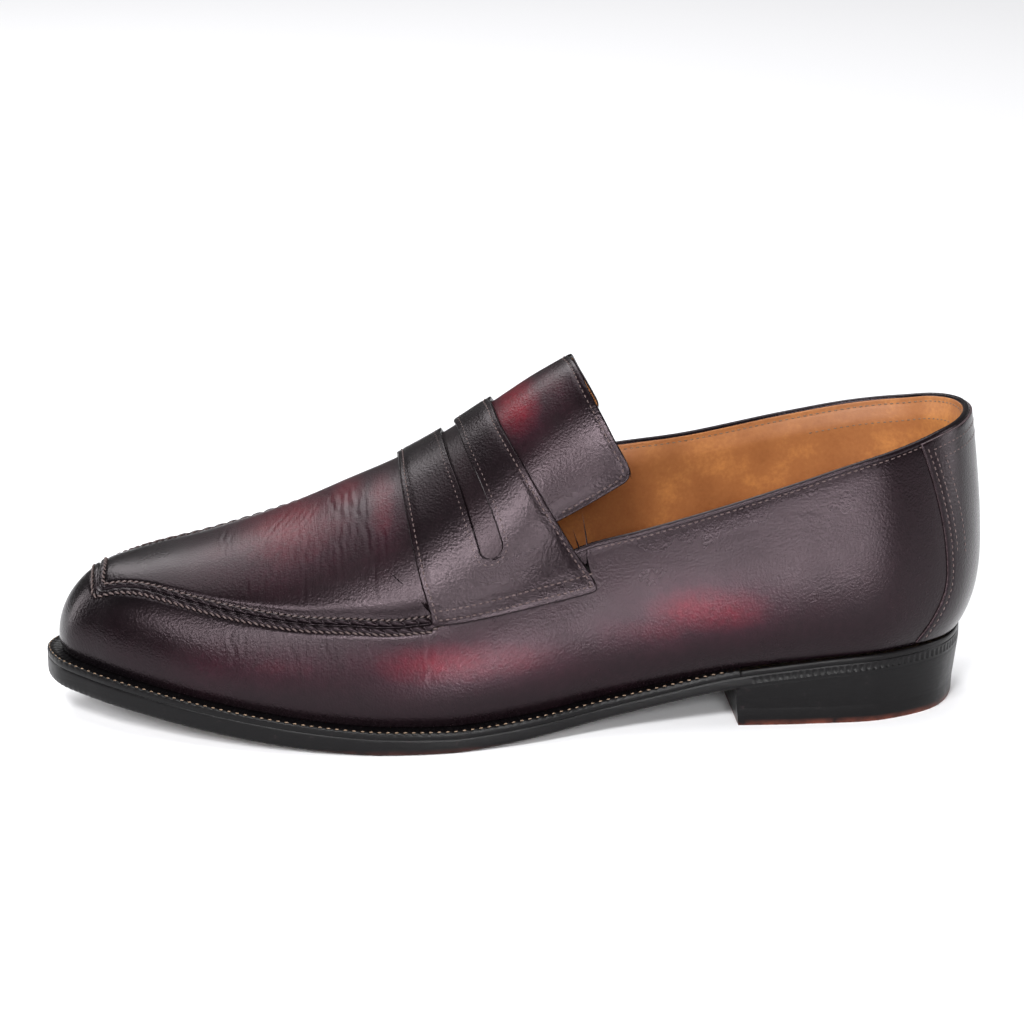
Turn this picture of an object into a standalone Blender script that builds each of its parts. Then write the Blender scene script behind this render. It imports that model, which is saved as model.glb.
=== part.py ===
"""A penny loafer for the left foot, as the pieces that a shoemaker cuts, lasts and stitches.

The shoe stands on the ground at Z = 0 with its toe towards -X. The outer (lateral) side of the foot is -Y
and the inner (medial) side is +Y. Sizes below are in millimetres and become metres in the meshes.

The whole upper is drawn on one outer form, the last. A point of the last is given by two numbers:
  station  runs round the sole outline: 0 at the back of the heel, 13 at the tip of the toe, 26 at the heel again
  climb    runs from 0 at the feather line, where the upper meets the welt, to 1 on the ridge of the instep
"""

import math

import bmesh
import bpy
import numpy as np

MM = 0.001

# ---- Driving dimensions -----------------------------------------------------------------------------

# Outsole outline seen from above, (x, y), one point for each whole station.
OUTLINE = [
    (151.5, 0), (143, -22), (122, -34), (96, -36), (61, -35.5), (31, -39), (1, -47), (-29, -51.5), (-55, -50),
    (-85, -43.5), (-113, -32.5), (-136, -19), (-148, -7), (-151, 4), (-147.5, 15), (-133, 27), (-108, 39),
    (-80, 46.5), (-55, 49), (-30, 46), (0, 36), (31, 28.5), (61, 29.5), (96, 34), (122, 32), (143, 21),
]
STATIONS = len(OUTLINE)
TOE_STATION = STATIONS // 2

# Curves along the shoe, as (x, value) knots.
SOLE_BOTTOM = [(-151, 12), (-130, 9.5), (-100, 5.3), (-70, 1.8), (-50, 0.25), (-25, -0.2), (10, 3), (40, 7.6),
               (73, 13.3), (110, 17), (151, 18.5)]
EDGE_THICKNESS = [(-151, 9), (-60, 8.2), (0, 7), (50, 6.2), (73, 6.4), (151, 6.8)]
WELT_MARGIN = [(-151, 5), (-60, 5), (0, 4.5), (40, 3.5), (75, 2), (110, 1.2), (151, 1)]
RIDGE = [(-151, 41), (-134, 48), (-118, 51.5), (-100, 55), (-83, 59.7), (-67, 65), (-50, 72.2), (-34, 79.5),
         (-21, 87), (-5, 98), (8, 107), (21, 114.8), (40, 127), (60, 138), (100, 150), (151, 156)]
SPINE_X = [(-147, -121), (-130, -114), (-105, -100), (-80, -79), (-40, -40), (0, 0), (40, 40), (80, 78),
           (105, 95), (130, 104), (151, 108)]
SPINE_Y = [(-151, 5), (-130, 6.5), (-110, 9), (-80, 12), (-50, 13), (-20, 11), (0, 9), (20, 8), (40, 6),
           (80, 2), (151, 0)]
FULLNESS = [(-151, 3.4), (-125, 2.95), (-100, 2.4), (-50, 2.2), (0, 2.1), (40, 2.3), (80, 3), (151, 3.4)]
BULGE = [(-151, 1), (-60, 1.5), (0, 3), (60, 5.5), (110, 5.5), (151, 6)]
BULGE_HEIGHT = [(-151, 0.25), (0, 0.2), (60, 0.17), (151, 0.2)]

# Height of the wall's upper edge behind the apron, as (x, z): under the strap first, then the topline.
TOPLINE_LATERAL = [(-27, 41.6), (0, 53), (20, 62.5), (40, 67.3), (60, 72.9), (92, 83.4), (112, 89.8),
                   (128, 94), (138, 96.6), (151, 98.6)]
TOPLINE_MEDIAL = [(-27, 66.5), (0, 73), (20, 78.5), (40, 81), (60, 82.3), (77, 84.3), (112, 89.8),
                  (128, 92.7), (138, 94.6), (151, 98.6)]
# The apron's seam seen from above: the toe line and the two sides, as (x, y).
APRON_TOE_X = -133
APRON_LATERAL = [(-140, -5), (-122, -12.5), (-109, -19.4), (-96, -25.6), (-84, -30.6), (-68, -36.2),
                 (-52, -40.1), (-37, -42.5), (-27, -43)]
APRON_MEDIAL = [(-140, 15.5), (-116, 18.5), (-100, 22), (-84, 25), (-67, 27.5), (-55, 29.5), (-45, 32),
                (-35, 34.5), (-27, 36.5)]
APRON_CORNER = 3.5
SEAM_END_X = -27
SEAM_FRONT_OF_STRAP = (-31, -37)

# The strap, as (climb, x) knots of its edges; the climb of each lower edge is given front and back.
STRAP_FRONT = [(0.2, -26), (0.27, -26.8), (0.41, -30.2), (0.53, -32.1), (0.68, -33.5), (0.83, -34.2), (1, -34)]
STRAP_REAR = [(0.15, 27.6), (0.205, 26.4), (0.31, 19), (0.417, 12.3), (0.55, 5.8), (0.77, -1.3), (1, -4)]
STRAP_FOOT_X = (-26.8, 26.4)  # the strap's lower corners, and the climb at each of them
STRAP_FOOT_LATERAL = (0.268, 0.203)
STRAP_FOOT_MEDIAL = (0.33, 0.25)
SLOT_MIDDLE = [(0.3, -5), (0.4, -7.1), (0.5, -9.7), (0.64, -13), (0.75, -15.3), (1, -17.7)]
SLOT_HALF_WIDTH = [(0.3, 3.7), (0.5, 3.2), (0.7, 2.6), (1, 2.3)]
SLOT_END_LATERAL = 0.385
SLOT_END_MEDIAL = 0.46
SLOT_CORNER_ANGLES = (20, 45, 70, 90)  # where the round ends of the slot get their points, in degrees

# The tongue's free edge, as (climb, x), and the climb of its two lower edges.
TONGUE_REAR = [(0.35, 39.6), (0.395, 38.2), (0.52, 32.4), (0.695, 26), (1, 20.5)]
TONGUE_FRONT = [(0.35, 10), (0.41, 8), (0.55, 3), (0.77, -3.5), (1, -5.5)]
TONGUE_FOOT_LATERAL = 0.395
TONGUE_FOOT_MEDIAL = 0.5
TONGUE_AXIS = (-3, 9, 97.8)
APRON_REAR_GAP = 3

# The heel counter cover's front edge, as (z, x).
COUNTER_EDGE = [(20, 128), (25, 130.6), (34, 136), (43, 139.6), (57, 139.5), (67, 137.7), (77, 135), (86, 132),
                (97, 127.5)]

# Thicknesses and clearances.
CLEAR = 0.35
SHELL_GAP = 0.6
LINING_GAP = 0.8
UPPER_THICK = 1.4
LINING_THICK = 1.0
STIFFENER_THICK = 0.9
WELT_THICK = 2.4
RAND_RECESS = 0.7
INSOLE_THICK = 2.8
SOCK_THICK = 1.0
BEAD_RADIUS = 1.5
BINDING_RADIUS = 1.2
THREAD_RADIUS = 0.35
STRAP_THICK = 1.6
STRAP_LIFT = 0.6
TONGUE_THICK = 1.5
TONGUE_SINK = 0.3
COUNTER_THICK = 0.9
COUNTER_TOP_GAP = 5
COUNTER_STATIONS = (0.5, 4.5)  # where the counter's front edge is looked for
GRIP_THICK = 0.7
GRIP_REACH = 1.4  # stations to each side of the back of the heel
GRIP_LOW = 9
GRIP_TOP_GAP = 24
LINING_LOW = 1  # height of the linings' lower edges above the feather line
VAMP_LINING_END_X = -26.5
QUARTER_LINING_END_X = -24
HEEL_STIFFENER_X = 84
HEEL_STIFFENER_TOP_GAP = 14
TOE_PUFF_X = -114
TOE_PUFF_CLIMB = 0.55
HEEL_BREAST_X = 73
HEEL_TAPER = 1.8
HEEL_EDGE_INSET = 0.3
TOP_PIECE_THICK = 6
HEEL_LIFTS = 3
NAIL_RADIUS = 1.1
NAIL_LENGTH = 4.5
NAIL_COUNT = 8
NAIL_START = 0.15
NAIL_INSET = 9
NAIL_CLEAR = 0.3
NAIL_STATIONS = 3.3
SHANK_WIDTH = 12
SHANK_THICK = 1
SHANK_DROP = 0.9
SHANK_LINE = [(10, -4), (60, -3), (104, -1)]
CORK_END_X = 6
WELT_INSET = 0.3
WELT_UNDERLAP = 4.2
RAND_WIDTH = 9
INSOLE_INSET = 5
THREAD_GAP = 3
STRAP_THREAD_SHARE = 0.06
STRAP_THREAD_CLIMB = 0.03
SLOT_THREAD_GAP = 1.9
TOPLINE_THREAD_GAP = 4.5
CLIMB_MM = 110  # millimetres along the surface for each whole climb, on the sides of the instep
APRON_BEND_X = -32  # the apron's rows start to slant here
BEAD_LIFT = 0.15
ORIGIN = (3.44, -1.25, 0)  # middle of the finished shoe's length and width

# sRGB-like linear colours, roughness and metallic value for each material.
MATERIALS = {
    "burgundy_calf": ((0.055, 0.009, 0.016), 0.32, 0.0),
    "strap_calf": ((0.020, 0.012, 0.014), 0.30, 0.0),
    "tan_lining": ((0.46, 0.21, 0.07), 0.55, 0.0),
    "black_edge": ((0.011, 0.011, 0.013), 0.38, 0.0),
    "sole_leather": ((0.30, 0.15, 0.07), 0.6, 0.0),
    "insole_leather": ((0.42, 0.26, 0.14), 0.7, 0.0),
    "cork": ((0.30, 0.18, 0.09), 0.9, 0.0),
    "stiffener_board": ((0.33, 0.27, 0.19), 0.8, 0.0),
    "spring_steel": ((0.45, 0.45, 0.46), 0.35, 1.0),
    "brass": ((0.70, 0.47, 0.17), 0.3, 1.0),
    "thread": ((0.10, 0.055, 0.055), 0.6, 0.0),
}

RIBS_PER_STATION = 3
WALL_ROWS = 9


# ---- Curves and the last ----------------------------------------------------------------------------


def along(knots, at):
    """Value at a place of the smooth curve through knots, which are (place, value) pairs in rising order."""
    place, value = np.array(knots, float).T
    slope = np.gradient(value, place)
    at = np.asarray(at, float)
    i = np.clip(np.searchsorted(place, at, side="right") - 1, 0, len(place) - 2)
    width = place[i + 1] - place[i]
    t = np.clip((at - place[i]) / width, 0, 1)
    ease = t * t * (3 - 2 * t)
    sway = width * t * (1 - t) * (slope[i] * (1 - t) - slope[i + 1] * t)
    return value[i] + (value[i + 1] - value[i]) * ease + sway


def outline(station):
    """Plan points of the outsole's edge at the stations, on a smooth closed curve through OUTLINE."""
    points = np.array(OUTLINE, float)
    station = np.asarray(station, float) % STATIONS
    i = np.floor(station).astype(int)
    t = (station - i)[:, None]
    a, b, c, d = (points[(i + k) % STATIONS] for k in (-1, 0, 1, 2))

    def tangent(p, q, r):
        before = np.linalg.norm(q - p, axis=1, keepdims=True)
        after = np.linalg.norm(r - q, axis=1, keepdims=True)
        return ((q - p) / before * after + (r - q) / after * before) / (before + after)

    chord = np.linalg.norm(c - b, axis=1, keepdims=True)
    ease = t * t * (3 - 2 * t)
    sway = t * (1 - t) * chord * (tangent(a, b, c) * (1 - t) - tangent(b, c, d) * t)
    return b + (c - b) * ease + sway


def edge_normal(station):
    """Outward unit normals of the outline, in plan."""
    step = 0.02
    d = outline(np.asarray(station) + step) - outline(np.asarray(station) - step)
    n = np.stack([-d[:, 1], d[:, 0]], 1)
    return n / np.linalg.norm(n, axis=1, keepdims=True)


def inset(station, by):
    """Plan points a distance inside the outsole's edge."""
    by = np.broadcast_to(by, np.shape(station))
    return outline(station) - edge_normal(station) * by[:, None]


def feather(station):
    """Plan points of the feather line, where the upper meets the welt."""
    edge = outline(station)
    return inset(station, along(WELT_MARGIN, edge[:, 0]))


def sole_bottom(x):
    """Height of the outsole's lower face, which lies flat on the ground under the ball of the foot."""
    return np.maximum(along(SOLE_BOTTOM, x), 0)


def sole_top(x):
    """Height of the welt's upper face, which is the feather line's height."""
    return sole_bottom(x) + along(EDGE_THICKNESS, x)


def last(station, climb):
    """Points of the last for stations and climbs that broadcast together."""
    station, climb = np.broadcast_arrays(np.asarray(station, float), np.asarray(climb, float))
    shape = station.shape
    foot = feather(station.ravel()).reshape(shape + (2,))
    angle = np.clip(climb, 0, 1) * math.pi / 2
    spine_x = along(SPINE_X, foot[..., 0])
    reach = np.stack([spine_x, along(SPINE_Y, spine_x)], -1) - foot
    unit = reach / np.linalg.norm(reach, axis=-1, keepdims=True)
    power = 2 / along(FULLNESS, foot[..., 0])
    inward = 1 - np.cos(angle) ** power
    rise = np.sin(angle) ** power
    crest = rise / along(BULGE_HEIGHT, foot[..., 0])
    swell = along(BULGE, foot[..., 0]) * crest * np.exp(1 - crest)
    plan = foot + reach * inward[..., None] - unit * swell[..., None]
    base = sole_top(plan[..., 0])
    height = base + (along(RIDGE, plan[..., 0]) - base) * rise
    return np.concatenate([plan, height[..., None]], -1)


def last_normal(station, climb):
    """Outward unit normals of the last."""
    ds, dc = 0.01, 0.004
    climb = np.clip(np.asarray(climb, float), 0.012, 0.985)
    across = last(station + ds, climb) - last(station - ds, climb)
    upward = last(station, climb + dc) - last(station, climb - dc)
    n = np.cross(upward, across)
    n /= np.linalg.norm(n, axis=-1, keepdims=True)
    return n


def layer(station, climb, lift):
    """Points a distance outside the last (inside where lift is negative)."""
    station, climb, lift = np.broadcast_arrays(station, climb, lift)
    return last(station, climb) + last_normal(station, climb) * lift[..., None]


def station_at(x, medial, edge=feather):
    """Station on one side of the shoe where a plan edge has this x."""
    fine = np.linspace(TOE_STATION, STATIONS, 1400) if medial else np.linspace(TOE_STATION, 0, 1400)
    return np.interp(x, np.maximum.accumulate(edge(fine)[:, 0]), fine)


# ---- The lines that bound the pieces ------------------------------------------------------------------


def climb_at(station, height):
    """Climb of a point low on the last, a height above the feather line."""
    x = feather(station)[:, 0]
    share = height / (along(RIDGE, x) - sole_top(x))
    return np.arcsin(share ** (along(FULLNESS, x) / 2)) * 2 / math.pi


def inside_apron(x, y):
    """How far a plan point is outside the apron's seam line; negative inside. Its toe corners are rounded."""
    beyond = np.stack([APRON_TOE_X - x, along(APRON_LATERAL, x) - y, y - along(APRON_MEDIAL, x)], -1)
    pushed = np.maximum(beyond + APRON_CORNER, 0)
    return np.where(
        pushed.max(-1) > 0,
        np.linalg.norm(pushed, axis=-1) - APRON_CORNER,
        beyond.max(-1),
    )


def first_zero(places, values):
    """Where values, sampled at places along the last axis, first fall to zero."""
    below = values <= 0
    k = np.maximum(np.argmax(below, axis=-1), 1)
    row = np.arange(len(values))
    before, after = values[row, k - 1], values[row, k]
    share = np.clip(before / (before - after + 1e-12), 0, 1)
    return places[k - 1] + (places[k] - places[k - 1]) * share


def wall_edge(station, gap=0.0):
    """Climb of the wall's upper edge: gap millimetres outside the apron's seam line, or below the topline."""
    station = np.asarray(station, float) % STATIONS
    gap = np.broadcast_to(gap, station.shape)[:, None]
    climbs = np.linspace(0.02, 0.95, 240)
    p = last(station[:, None], climbs)
    x, y, z = p[..., 0], p[..., 1], p[..., 2]
    seam = first_zero(climbs, inside_apron(x, y) - gap)
    medial = (station > TOE_STATION)[:, None]
    top = np.where(medial, along(TOPLINE_MEDIAL, x), along(TOPLINE_LATERAL, x))
    line = first_zero(climbs, top - gap - z)
    foot_x = feather(station)[:, 0]
    return np.where(foot_x < SEAM_END_X, seam, line)


# ---- Blender helpers ----------------------------------------------------------------------------------


def clear_scene():
    for obj in list(bpy.data.objects):
        bpy.data.objects.remove(obj)


def new_collection(name):
    collection = bpy.data.collections.new(name)
    bpy.context.scene.collection.children.link(collection)
    return collection


def material(name):
    found = bpy.data.materials.get(name)
    if found:
        return found
    colour, roughness, metallic = MATERIALS[name]
    made = bpy.data.materials.new(name)
    made.use_nodes = True
    shader = made.node_tree.nodes["Principled BSDF"]
    shader.inputs["Base Color"].default_value = (*colour, 1)
    shader.inputs["Roughness"].default_value = roughness
    shader.inputs["Metallic"].default_value = metallic
    return made


def place(obj, finish, pivot=ORIGIN):
    """Puts a new object in the shoe with its origin at pivot."""
    obj.location = (np.array(pivot, float) - ORIGIN) * MM
    if finish:
        obj.data.materials.append(material(finish))
        SHOE.objects.link(obj)
    else:
        obj.hide_render = True
        obj.display_type = "WIRE"
        CUTTERS.objects.link(obj)
    return obj


def add_mesh(name, points, faces, finish, pivot=ORIGIN):
    """A new object from points in millimetres, its doubled points joined and its edges over 40 degrees sharp."""
    mesh = bpy.data.meshes.new(name)
    points = np.asarray(points, float).reshape(-1, 3) - pivot
    mesh.from_pydata((points * MM).tolist(), [], faces)
    shape = bmesh.new()
    shape.from_mesh(mesh)
    bmesh.ops.remove_doubles(shape, verts=shape.verts, dist=0.02 * MM)
    if all(edge.is_manifold for edge in shape.edges):
        bmesh.ops.recalc_face_normals(shape, faces=shape.faces)
    shape.to_mesh(mesh)
    shape.free()
    mesh.shade_smooth()
    mesh.set_sharp_from_angle(angle=math.radians(40))
    return place(bpy.data.objects.new(name, mesh), finish, pivot)


def shell(name, grid, thickness, finish, around=True, closed=False, pivot=ORIGIN):
    """A leather piece from a grid of outer points, (rows, columns, 3), with its thickness on the inside.

    The rows of a grid that goes around the shoe are ribs; otherwise its rows follow each other from toe to heel.
    """
    rows, columns = grid.shape[:2]
    faces = []
    for i in range(rows if closed else rows - 1):
        for j in range(columns - 1):
            a, b = i * columns + j, (i + 1) % rows * columns + j
            faces.append((a, a + 1, b + 1, b) if around else (a, b, b + 1, a + 1))
    obj = add_mesh(name, grid, faces, finish, pivot)
    solid = obj.modifiers.new("thickness", "SOLIDIFY")
    solid.thickness = thickness * MM
    solid.offset = -1
    return obj


def loft(name, sections, finish):
    """A solid swept through four-cornered sections, (places, 4, 3), with flat ends."""
    count = len(sections)
    faces = [(3, 2, 1, 0), tuple((count - 1) * 4 + j for j in range(4))]
    for i in range(count - 1):
        for j in range(4):
            a, b, k = i * 4, i * 4 + 4, (j + 1) % 4
            faces.append((a + j, a + k, b + k, b + j))
    return add_mesh(name, sections, faces, finish)


def plate(name, upper, lower, finish):
    """A sole-like layer between two lists of rungs, each rung one point or a pair across the shoe."""
    points, levels = [], []
    for rungs in (upper, lower):
        ids = []
        for rung in rungs:
            ids.append(list(range(len(points), len(points) + len(rung))))
            points.extend(rung)
        levels.append(ids)
    up, low = levels
    faces = []
    for a, b, c, d in zip(up, up[1:], low, low[1:]):
        faces.append(tuple(dict.fromkeys((a[0], b[0], b[-1], a[-1]))))
        faces.append(tuple(dict.fromkeys((c[0], d[0], d[-1], c[-1]))))
        faces.append((a[0], c[0], d[0], b[0]))
        faces.append((a[-1], c[-1], d[-1], b[-1]))
    for a, c in ((up[0], low[0]), (up[-1], low[-1])):
        if len(a) == 2:
            faces.append((a[0], a[1], c[1], c[0]))
    return add_mesh(name, points, faces, finish)


def cord(name, path, radius, finish, sides=0, closed=False):
    """A round cord along points in millimetres; sides adds facets to the least of four."""
    curve = bpy.data.curves.new(name, "CURVE")
    curve.dimensions = "3D"
    curve.bevel_depth = radius * MM
    curve.bevel_resolution = sides
    curve.use_fill_caps = True
    spline = curve.splines.new("POLY")
    spline.points.add(len(path) - 1)
    for point, at in zip(spline.points, (np.asarray(path) - ORIGIN) * MM):
        point.co = (*at, 1)
    spline.use_cyclic_u = closed
    return place(bpy.data.objects.new(name, curve), finish)


def cut(obj, cutter):
    hole = obj.modifiers.new("cut by " + cutter.name, "BOOLEAN")
    hole.operation = "DIFFERENCE"
    hole.solver = "EXACT"
    hole.object = cutter


# ---- Bottom of the shoe -------------------------------------------------------------------------------


def rungs(edge, height, start=0, end=TOE_STATION):
    """Points of a level face, in pairs across the shoe, between two lateral stations."""
    count = max(int(round(abs(end - start) * RIBS_PER_STATION)), 2) + 1
    levels = []
    for s in np.linspace(start, end, count):
        pair = [s] if s in (0, TOE_STATION) else [s, STATIONS - s]
        plan = edge(np.array(pair, float))
        levels.append(np.c_[plan, height(plan[:, 0])])
    return levels


def cut_square(levels, x):
    """Moves the last rung of a layer onto a straight line across the shoe."""
    levels[-1][:, 0] = x
    return levels


def margin(stations):
    return along(WELT_MARGIN, outline(stations)[:, 0])


def welt_low(x):
    return sole_top(x) - WELT_THICK


def welt_high(x):
    return sole_top(x) - CLEAR


def outsole_top(x):
    return welt_low(x) - CLEAR


def make_outsole():
    plate("outsole", rungs(outline, outsole_top), rungs(outline, sole_bottom), "black_edge")


def band(name, stations, outer_inset, inner_inset, finish):
    """A flat band between the outsole and the upper that follows the outline between two insets."""
    outer, inner = inset(stations, outer_inset), inset(stations, inner_inset)
    corners = []
    for edge, height in ((outer, welt_high), (outer, welt_low), (inner, welt_low), (inner, welt_high)):
        corners.append(np.c_[edge, height(edge[:, 0])])
    return loft(name, np.stack(corners, 1), finish)


def welt_stations(count):
    """Stations from the heel breast on the lateral side, round the toe, to the breast on the medial side."""
    x = HEEL_BREAST_X - 2
    return np.linspace(station_at(x, False), station_at(x, True), count)


def heel_stations(count):
    """Stations from the breast on the medial side, round the back of the heel, to the lateral side."""
    x = HEEL_BREAST_X + 2
    return np.linspace(station_at(x, True) - STATIONS, station_at(x, False), count)


def make_welt_and_rand():
    stations = welt_stations(74)
    band("welt", stations, WELT_INSET, margin(stations) + WELT_UNDERLAP, "black_edge")
    stations = heel_stations(28)
    band("heel_rand", stations, RAND_RECESS, RAND_WIDTH, "black_edge")
    stations = welt_stations(70)[1:-1]
    path = np.c_[inset(stations, margin(stations) * 0.4), np.zeros(len(stations))]
    path[:, 2] = sole_top(path[:, 0]) + THREAD_RADIUS
    cord("welt_thread", path, THREAD_RADIUS, "thread")


def make_inner_bottom():
    """The insole with its sock liner, and what fills the hollow between insole and outsole."""

    def insole_edge(stations):
        return inset(stations, margin(stations) + INSOLE_INSET)

    high = lambda x: sole_top(x) + INSOLE_THICK
    plate("insole", rungs(insole_edge, high), rungs(insole_edge, sole_top), "insole_leather")
    low = lambda x: high(x) + CLEAR
    plate("sock_liner", rungs(insole_edge, lambda x: low(x) + SOCK_THICK), rungs(insole_edge, low), "tan_lining")
    start = station_at(CORK_END_X, False, insole_edge)
    faces = []
    for height in (welt_high, welt_low):
        faces.append(cut_square(rungs(insole_edge, height, TOE_STATION, start), CORK_END_X))
    plate("cork_filler", *faces, "cork")
    x = np.linspace(SHANK_LINE[0][0], SHANK_LINE[-1][0], 14)
    middle = along(SHANK_LINE, x)
    corners = []
    for side, drop in ((-1, 0), (-1, SHANK_THICK), (1, SHANK_THICK), (1, 0)):
        height = sole_top(x) - SHANK_DROP - drop
        corners.append(np.stack([x, middle + side * SHANK_WIDTH / 2, height], 1))
    loft("shank", np.stack(corners, 1), "spring_steel")


def heel_layer(name, low, high, finish):
    """One layer of the heel between two shares of its height above the top piece; zero is the ground."""

    def height(share):
        if share < 0:
            return lambda x: np.zeros(len(x))
        return lambda x: TOP_PIECE_THICK + share * (sole_bottom(x) - TOP_PIECE_THICK)

    levels = []
    for share, clear in ((high, -CLEAR), (low, 0)):
        rise = height(share)
        taper = HEEL_TAPER * (1 - max(share, -0.5)) * 2 / 3
        edge = lambda stations: inset(stations, HEEL_EDGE_INSET + taper)
        top = lambda x: rise(x) + clear
        level = rungs(edge, top, 0, station_at(HEEL_BREAST_X, False, edge))
        cut_square(level, HEEL_BREAST_X)
        level[-1][:, 2] = top(level[-1][:, 0])
        levels.append(level)
    return plate(name, *levels, finish)


def make_heel():
    for i in range(HEEL_LIFTS):
        heel_layer(f"heel_lift_{HEEL_LIFTS - i}", i / HEEL_LIFTS, (i + 1) / HEEL_LIFTS, "black_edge")
    top_piece = heel_layer("heel_top_piece", -1, 0, "black_edge")
    stations = np.linspace(-NAIL_STATIONS, NAIL_STATIONS, NAIL_COUNT)
    for i, (x, y) in enumerate(inset(stations, NAIL_INSET)):
        nail_at(f"top_piece_nail_{i + 1}", x, y, NAIL_RADIUS, NAIL_START, NAIL_LENGTH, "brass")
        depth = NAIL_START + NAIL_LENGTH + NAIL_CLEAR
        hole = nail_at(f"nail_hole_{i + 1}", x, y, NAIL_RADIUS + NAIL_CLEAR, -1, depth + 1, None)
        cut(top_piece, hole)


def nail_at(name, x, y, radius, start, length, finish):
    """An upright pin whose lower end is at height start."""
    shape = bmesh.new()
    bmesh.ops.create_cone(
        shape,
        cap_ends=True,
        segments=12,
        radius1=radius * MM,
        radius2=radius * MM,
        depth=length * MM,
    )
    bmesh.ops.translate(shape, verts=shape.verts, vec=(0, 0, (start + length / 2) * MM))
    mesh = bpy.data.meshes.new(name)
    shape.to_mesh(mesh)
    shape.free()
    mesh.shade_smooth()
    mesh.set_sharp_from_angle(angle=math.radians(40))
    return place(bpy.data.objects.new(name, mesh), finish, (x, y, 0))


# ---- Upper --------------------------------------------------------------------------------------------


def rib_grid(stations, low, high, rows, lift):
    """Outer points of a piece on ribs, each from climb low to climb high in steps of about equal height."""
    stations = np.asarray(stations, float)
    low, high, lift = (np.broadcast_to(v, stations.shape)[:, None] for v in (low, high, lift))
    power = along(FULLNESS, feather(stations)[:, 0])[:, None] / 2
    climbs = low + (high - low) * np.linspace(0, 1, rows) ** power
    return layer(stations[:, None], climbs, lift)


def ring_stations(start, end):
    return np.linspace(start, end, int(round((end - start) * RIBS_PER_STATION)) + 1)


def stations_ahead_of(x):
    """Stations round the toe between the points of both sides that have this foot x."""
    return ring_stations(station_at(x, False), station_at(x, True))


def stations_behind(lateral_x, medial_x):
    """Stations round the heel from the medial side, counted below zero, to the lateral side."""
    return ring_stations(station_at(medial_x, True) - STATIONS, station_at(lateral_x, False))


def lining_lift(x):
    """The lining lies deeper at the toe and the heel, where a stiffener is between it and the upper."""
    shallow = UPPER_THICK + LINING_GAP
    deep = UPPER_THICK + 2 * SHELL_GAP + STIFFENER_THICK
    return -np.interp(x, (-112, -95, 62, 80), (deep, shallow, shallow, deep))


def make_wall():
    """The vamp and quarters, one band of leather from the feather line up to the apron or the topline."""
    stations = ring_stations(0, STATIONS)[:-1]
    x = feather(stations)[:, 0]
    gap = np.where(x < SEAM_END_X, BEAD_RADIUS, BINDING_RADIUS) + SHELL_GAP
    grid = rib_grid(stations, 0, wall_edge(stations, gap), WALL_ROWS, 0)
    shell("vamp_and_quarters", grid, UPPER_THICK, "burgundy_calf", closed=True)


def crossing(rows, floors, side_columns, lift):
    """Outer points of a piece that crosses the ridge, in rows from toe to heel.

    Each row is a function that gives the foot x for climbs. floors are two functions, for the lateral and the
    medial side, that give the piece's lowest climb for a foot x. lift is a function of the foot x.
    """
    grid = []
    for row in rows:
        halves = []
        for medial, floor in enumerate(floors):
            low = np.array([1.0])
            for _ in range(5):
                low = floor(row(low))
            climbs = np.linspace(low[0], 1, side_columns)
            x = row(climbs)
            halves.append(layer(station_at(x, medial), climbs, lift(x)))
        grid.append(np.concatenate([halves[0], halves[1][-2::-1]]))
    return np.array(grid)


def straight_rows(x_values):
    return [lambda climbs, x=x: np.full(len(climbs), x) for x in x_values]


def slanting_rows(front, rear, shares):
    """Rows between a front and a rear edge, both functions that give the foot x for climbs."""
    return [lambda climbs, s=s: front(climbs) * (1 - s) + rear(climbs) * s for s in shares]


def toe_feet(end, count):
    """Foot x of rows that fan round the toe evenly and then run back to end."""
    feet = feather(np.linspace(TOE_STATION, station_at(end, False), count))[:, 0]
    return np.maximum.accumulate(feet)


def apron_floors(gap):
    """Lowest climb of the apron on each side: gap millimetres above the wall."""
    return [lambda x, side=side: wall_edge(station_at(x, side), -gap) for side in (False, True)]


def make_apron():
    """The plug on top of the foot, inside the moccasin seam; its rear end is hidden under the strap."""
    rear = lambda climbs: along(TONGUE_FRONT, climbs) - APRON_REAR_GAP
    rows = straight_rows(toe_feet(APRON_BEND_X, 20))
    rows += slanting_rows(straight_rows([APRON_BEND_X])[0], rear, (0.25, 0.5, 0.75, 1))
    grid = crossing(rows, apron_floors(BEAD_RADIUS + SHELL_GAP), 7, np.zeros_like)
    shell("apron", grid, UPPER_THICK, "burgundy_calf", around=False)


def seam_path(gap, lift, count):
    """Points round the apron's seam, gap millimetres below it (above where negative), up to the strap."""
    start = station_at(SEAM_FRONT_OF_STRAP[0], False)
    end = station_at(SEAM_FRONT_OF_STRAP[1], True)
    stations = np.linspace(start, end, count)
    return layer(stations, wall_edge(stations, gap), lift)


def make_apron_seam():
    """The hand-sewn seam: a rounded bead with a row of thread on each side of it."""
    cord("apron_seam_bead", seam_path(0, BEAD_LIFT, 64), BEAD_RADIUS, "burgundy_calf", sides=1)
    lift = THREAD_RADIUS + CLEAR
    cord("apron_thread_lower", seam_path(THREAD_GAP, lift, 50), THREAD_RADIUS, "thread")
    cord("apron_thread_upper", seam_path(-THREAD_GAP, lift, 50), THREAD_RADIUS, "thread")


def strap_floors():
    return [
        lambda x, foot=foot: along(list(zip(STRAP_FOOT_X, foot)), x)
        for foot in (STRAP_FOOT_LATERAL, STRAP_FOOT_MEDIAL)
    ]


def strap_front(climbs):
    return along(STRAP_FRONT, climbs)


def strap_rear(climbs):
    return along(STRAP_REAR, climbs)


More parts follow.
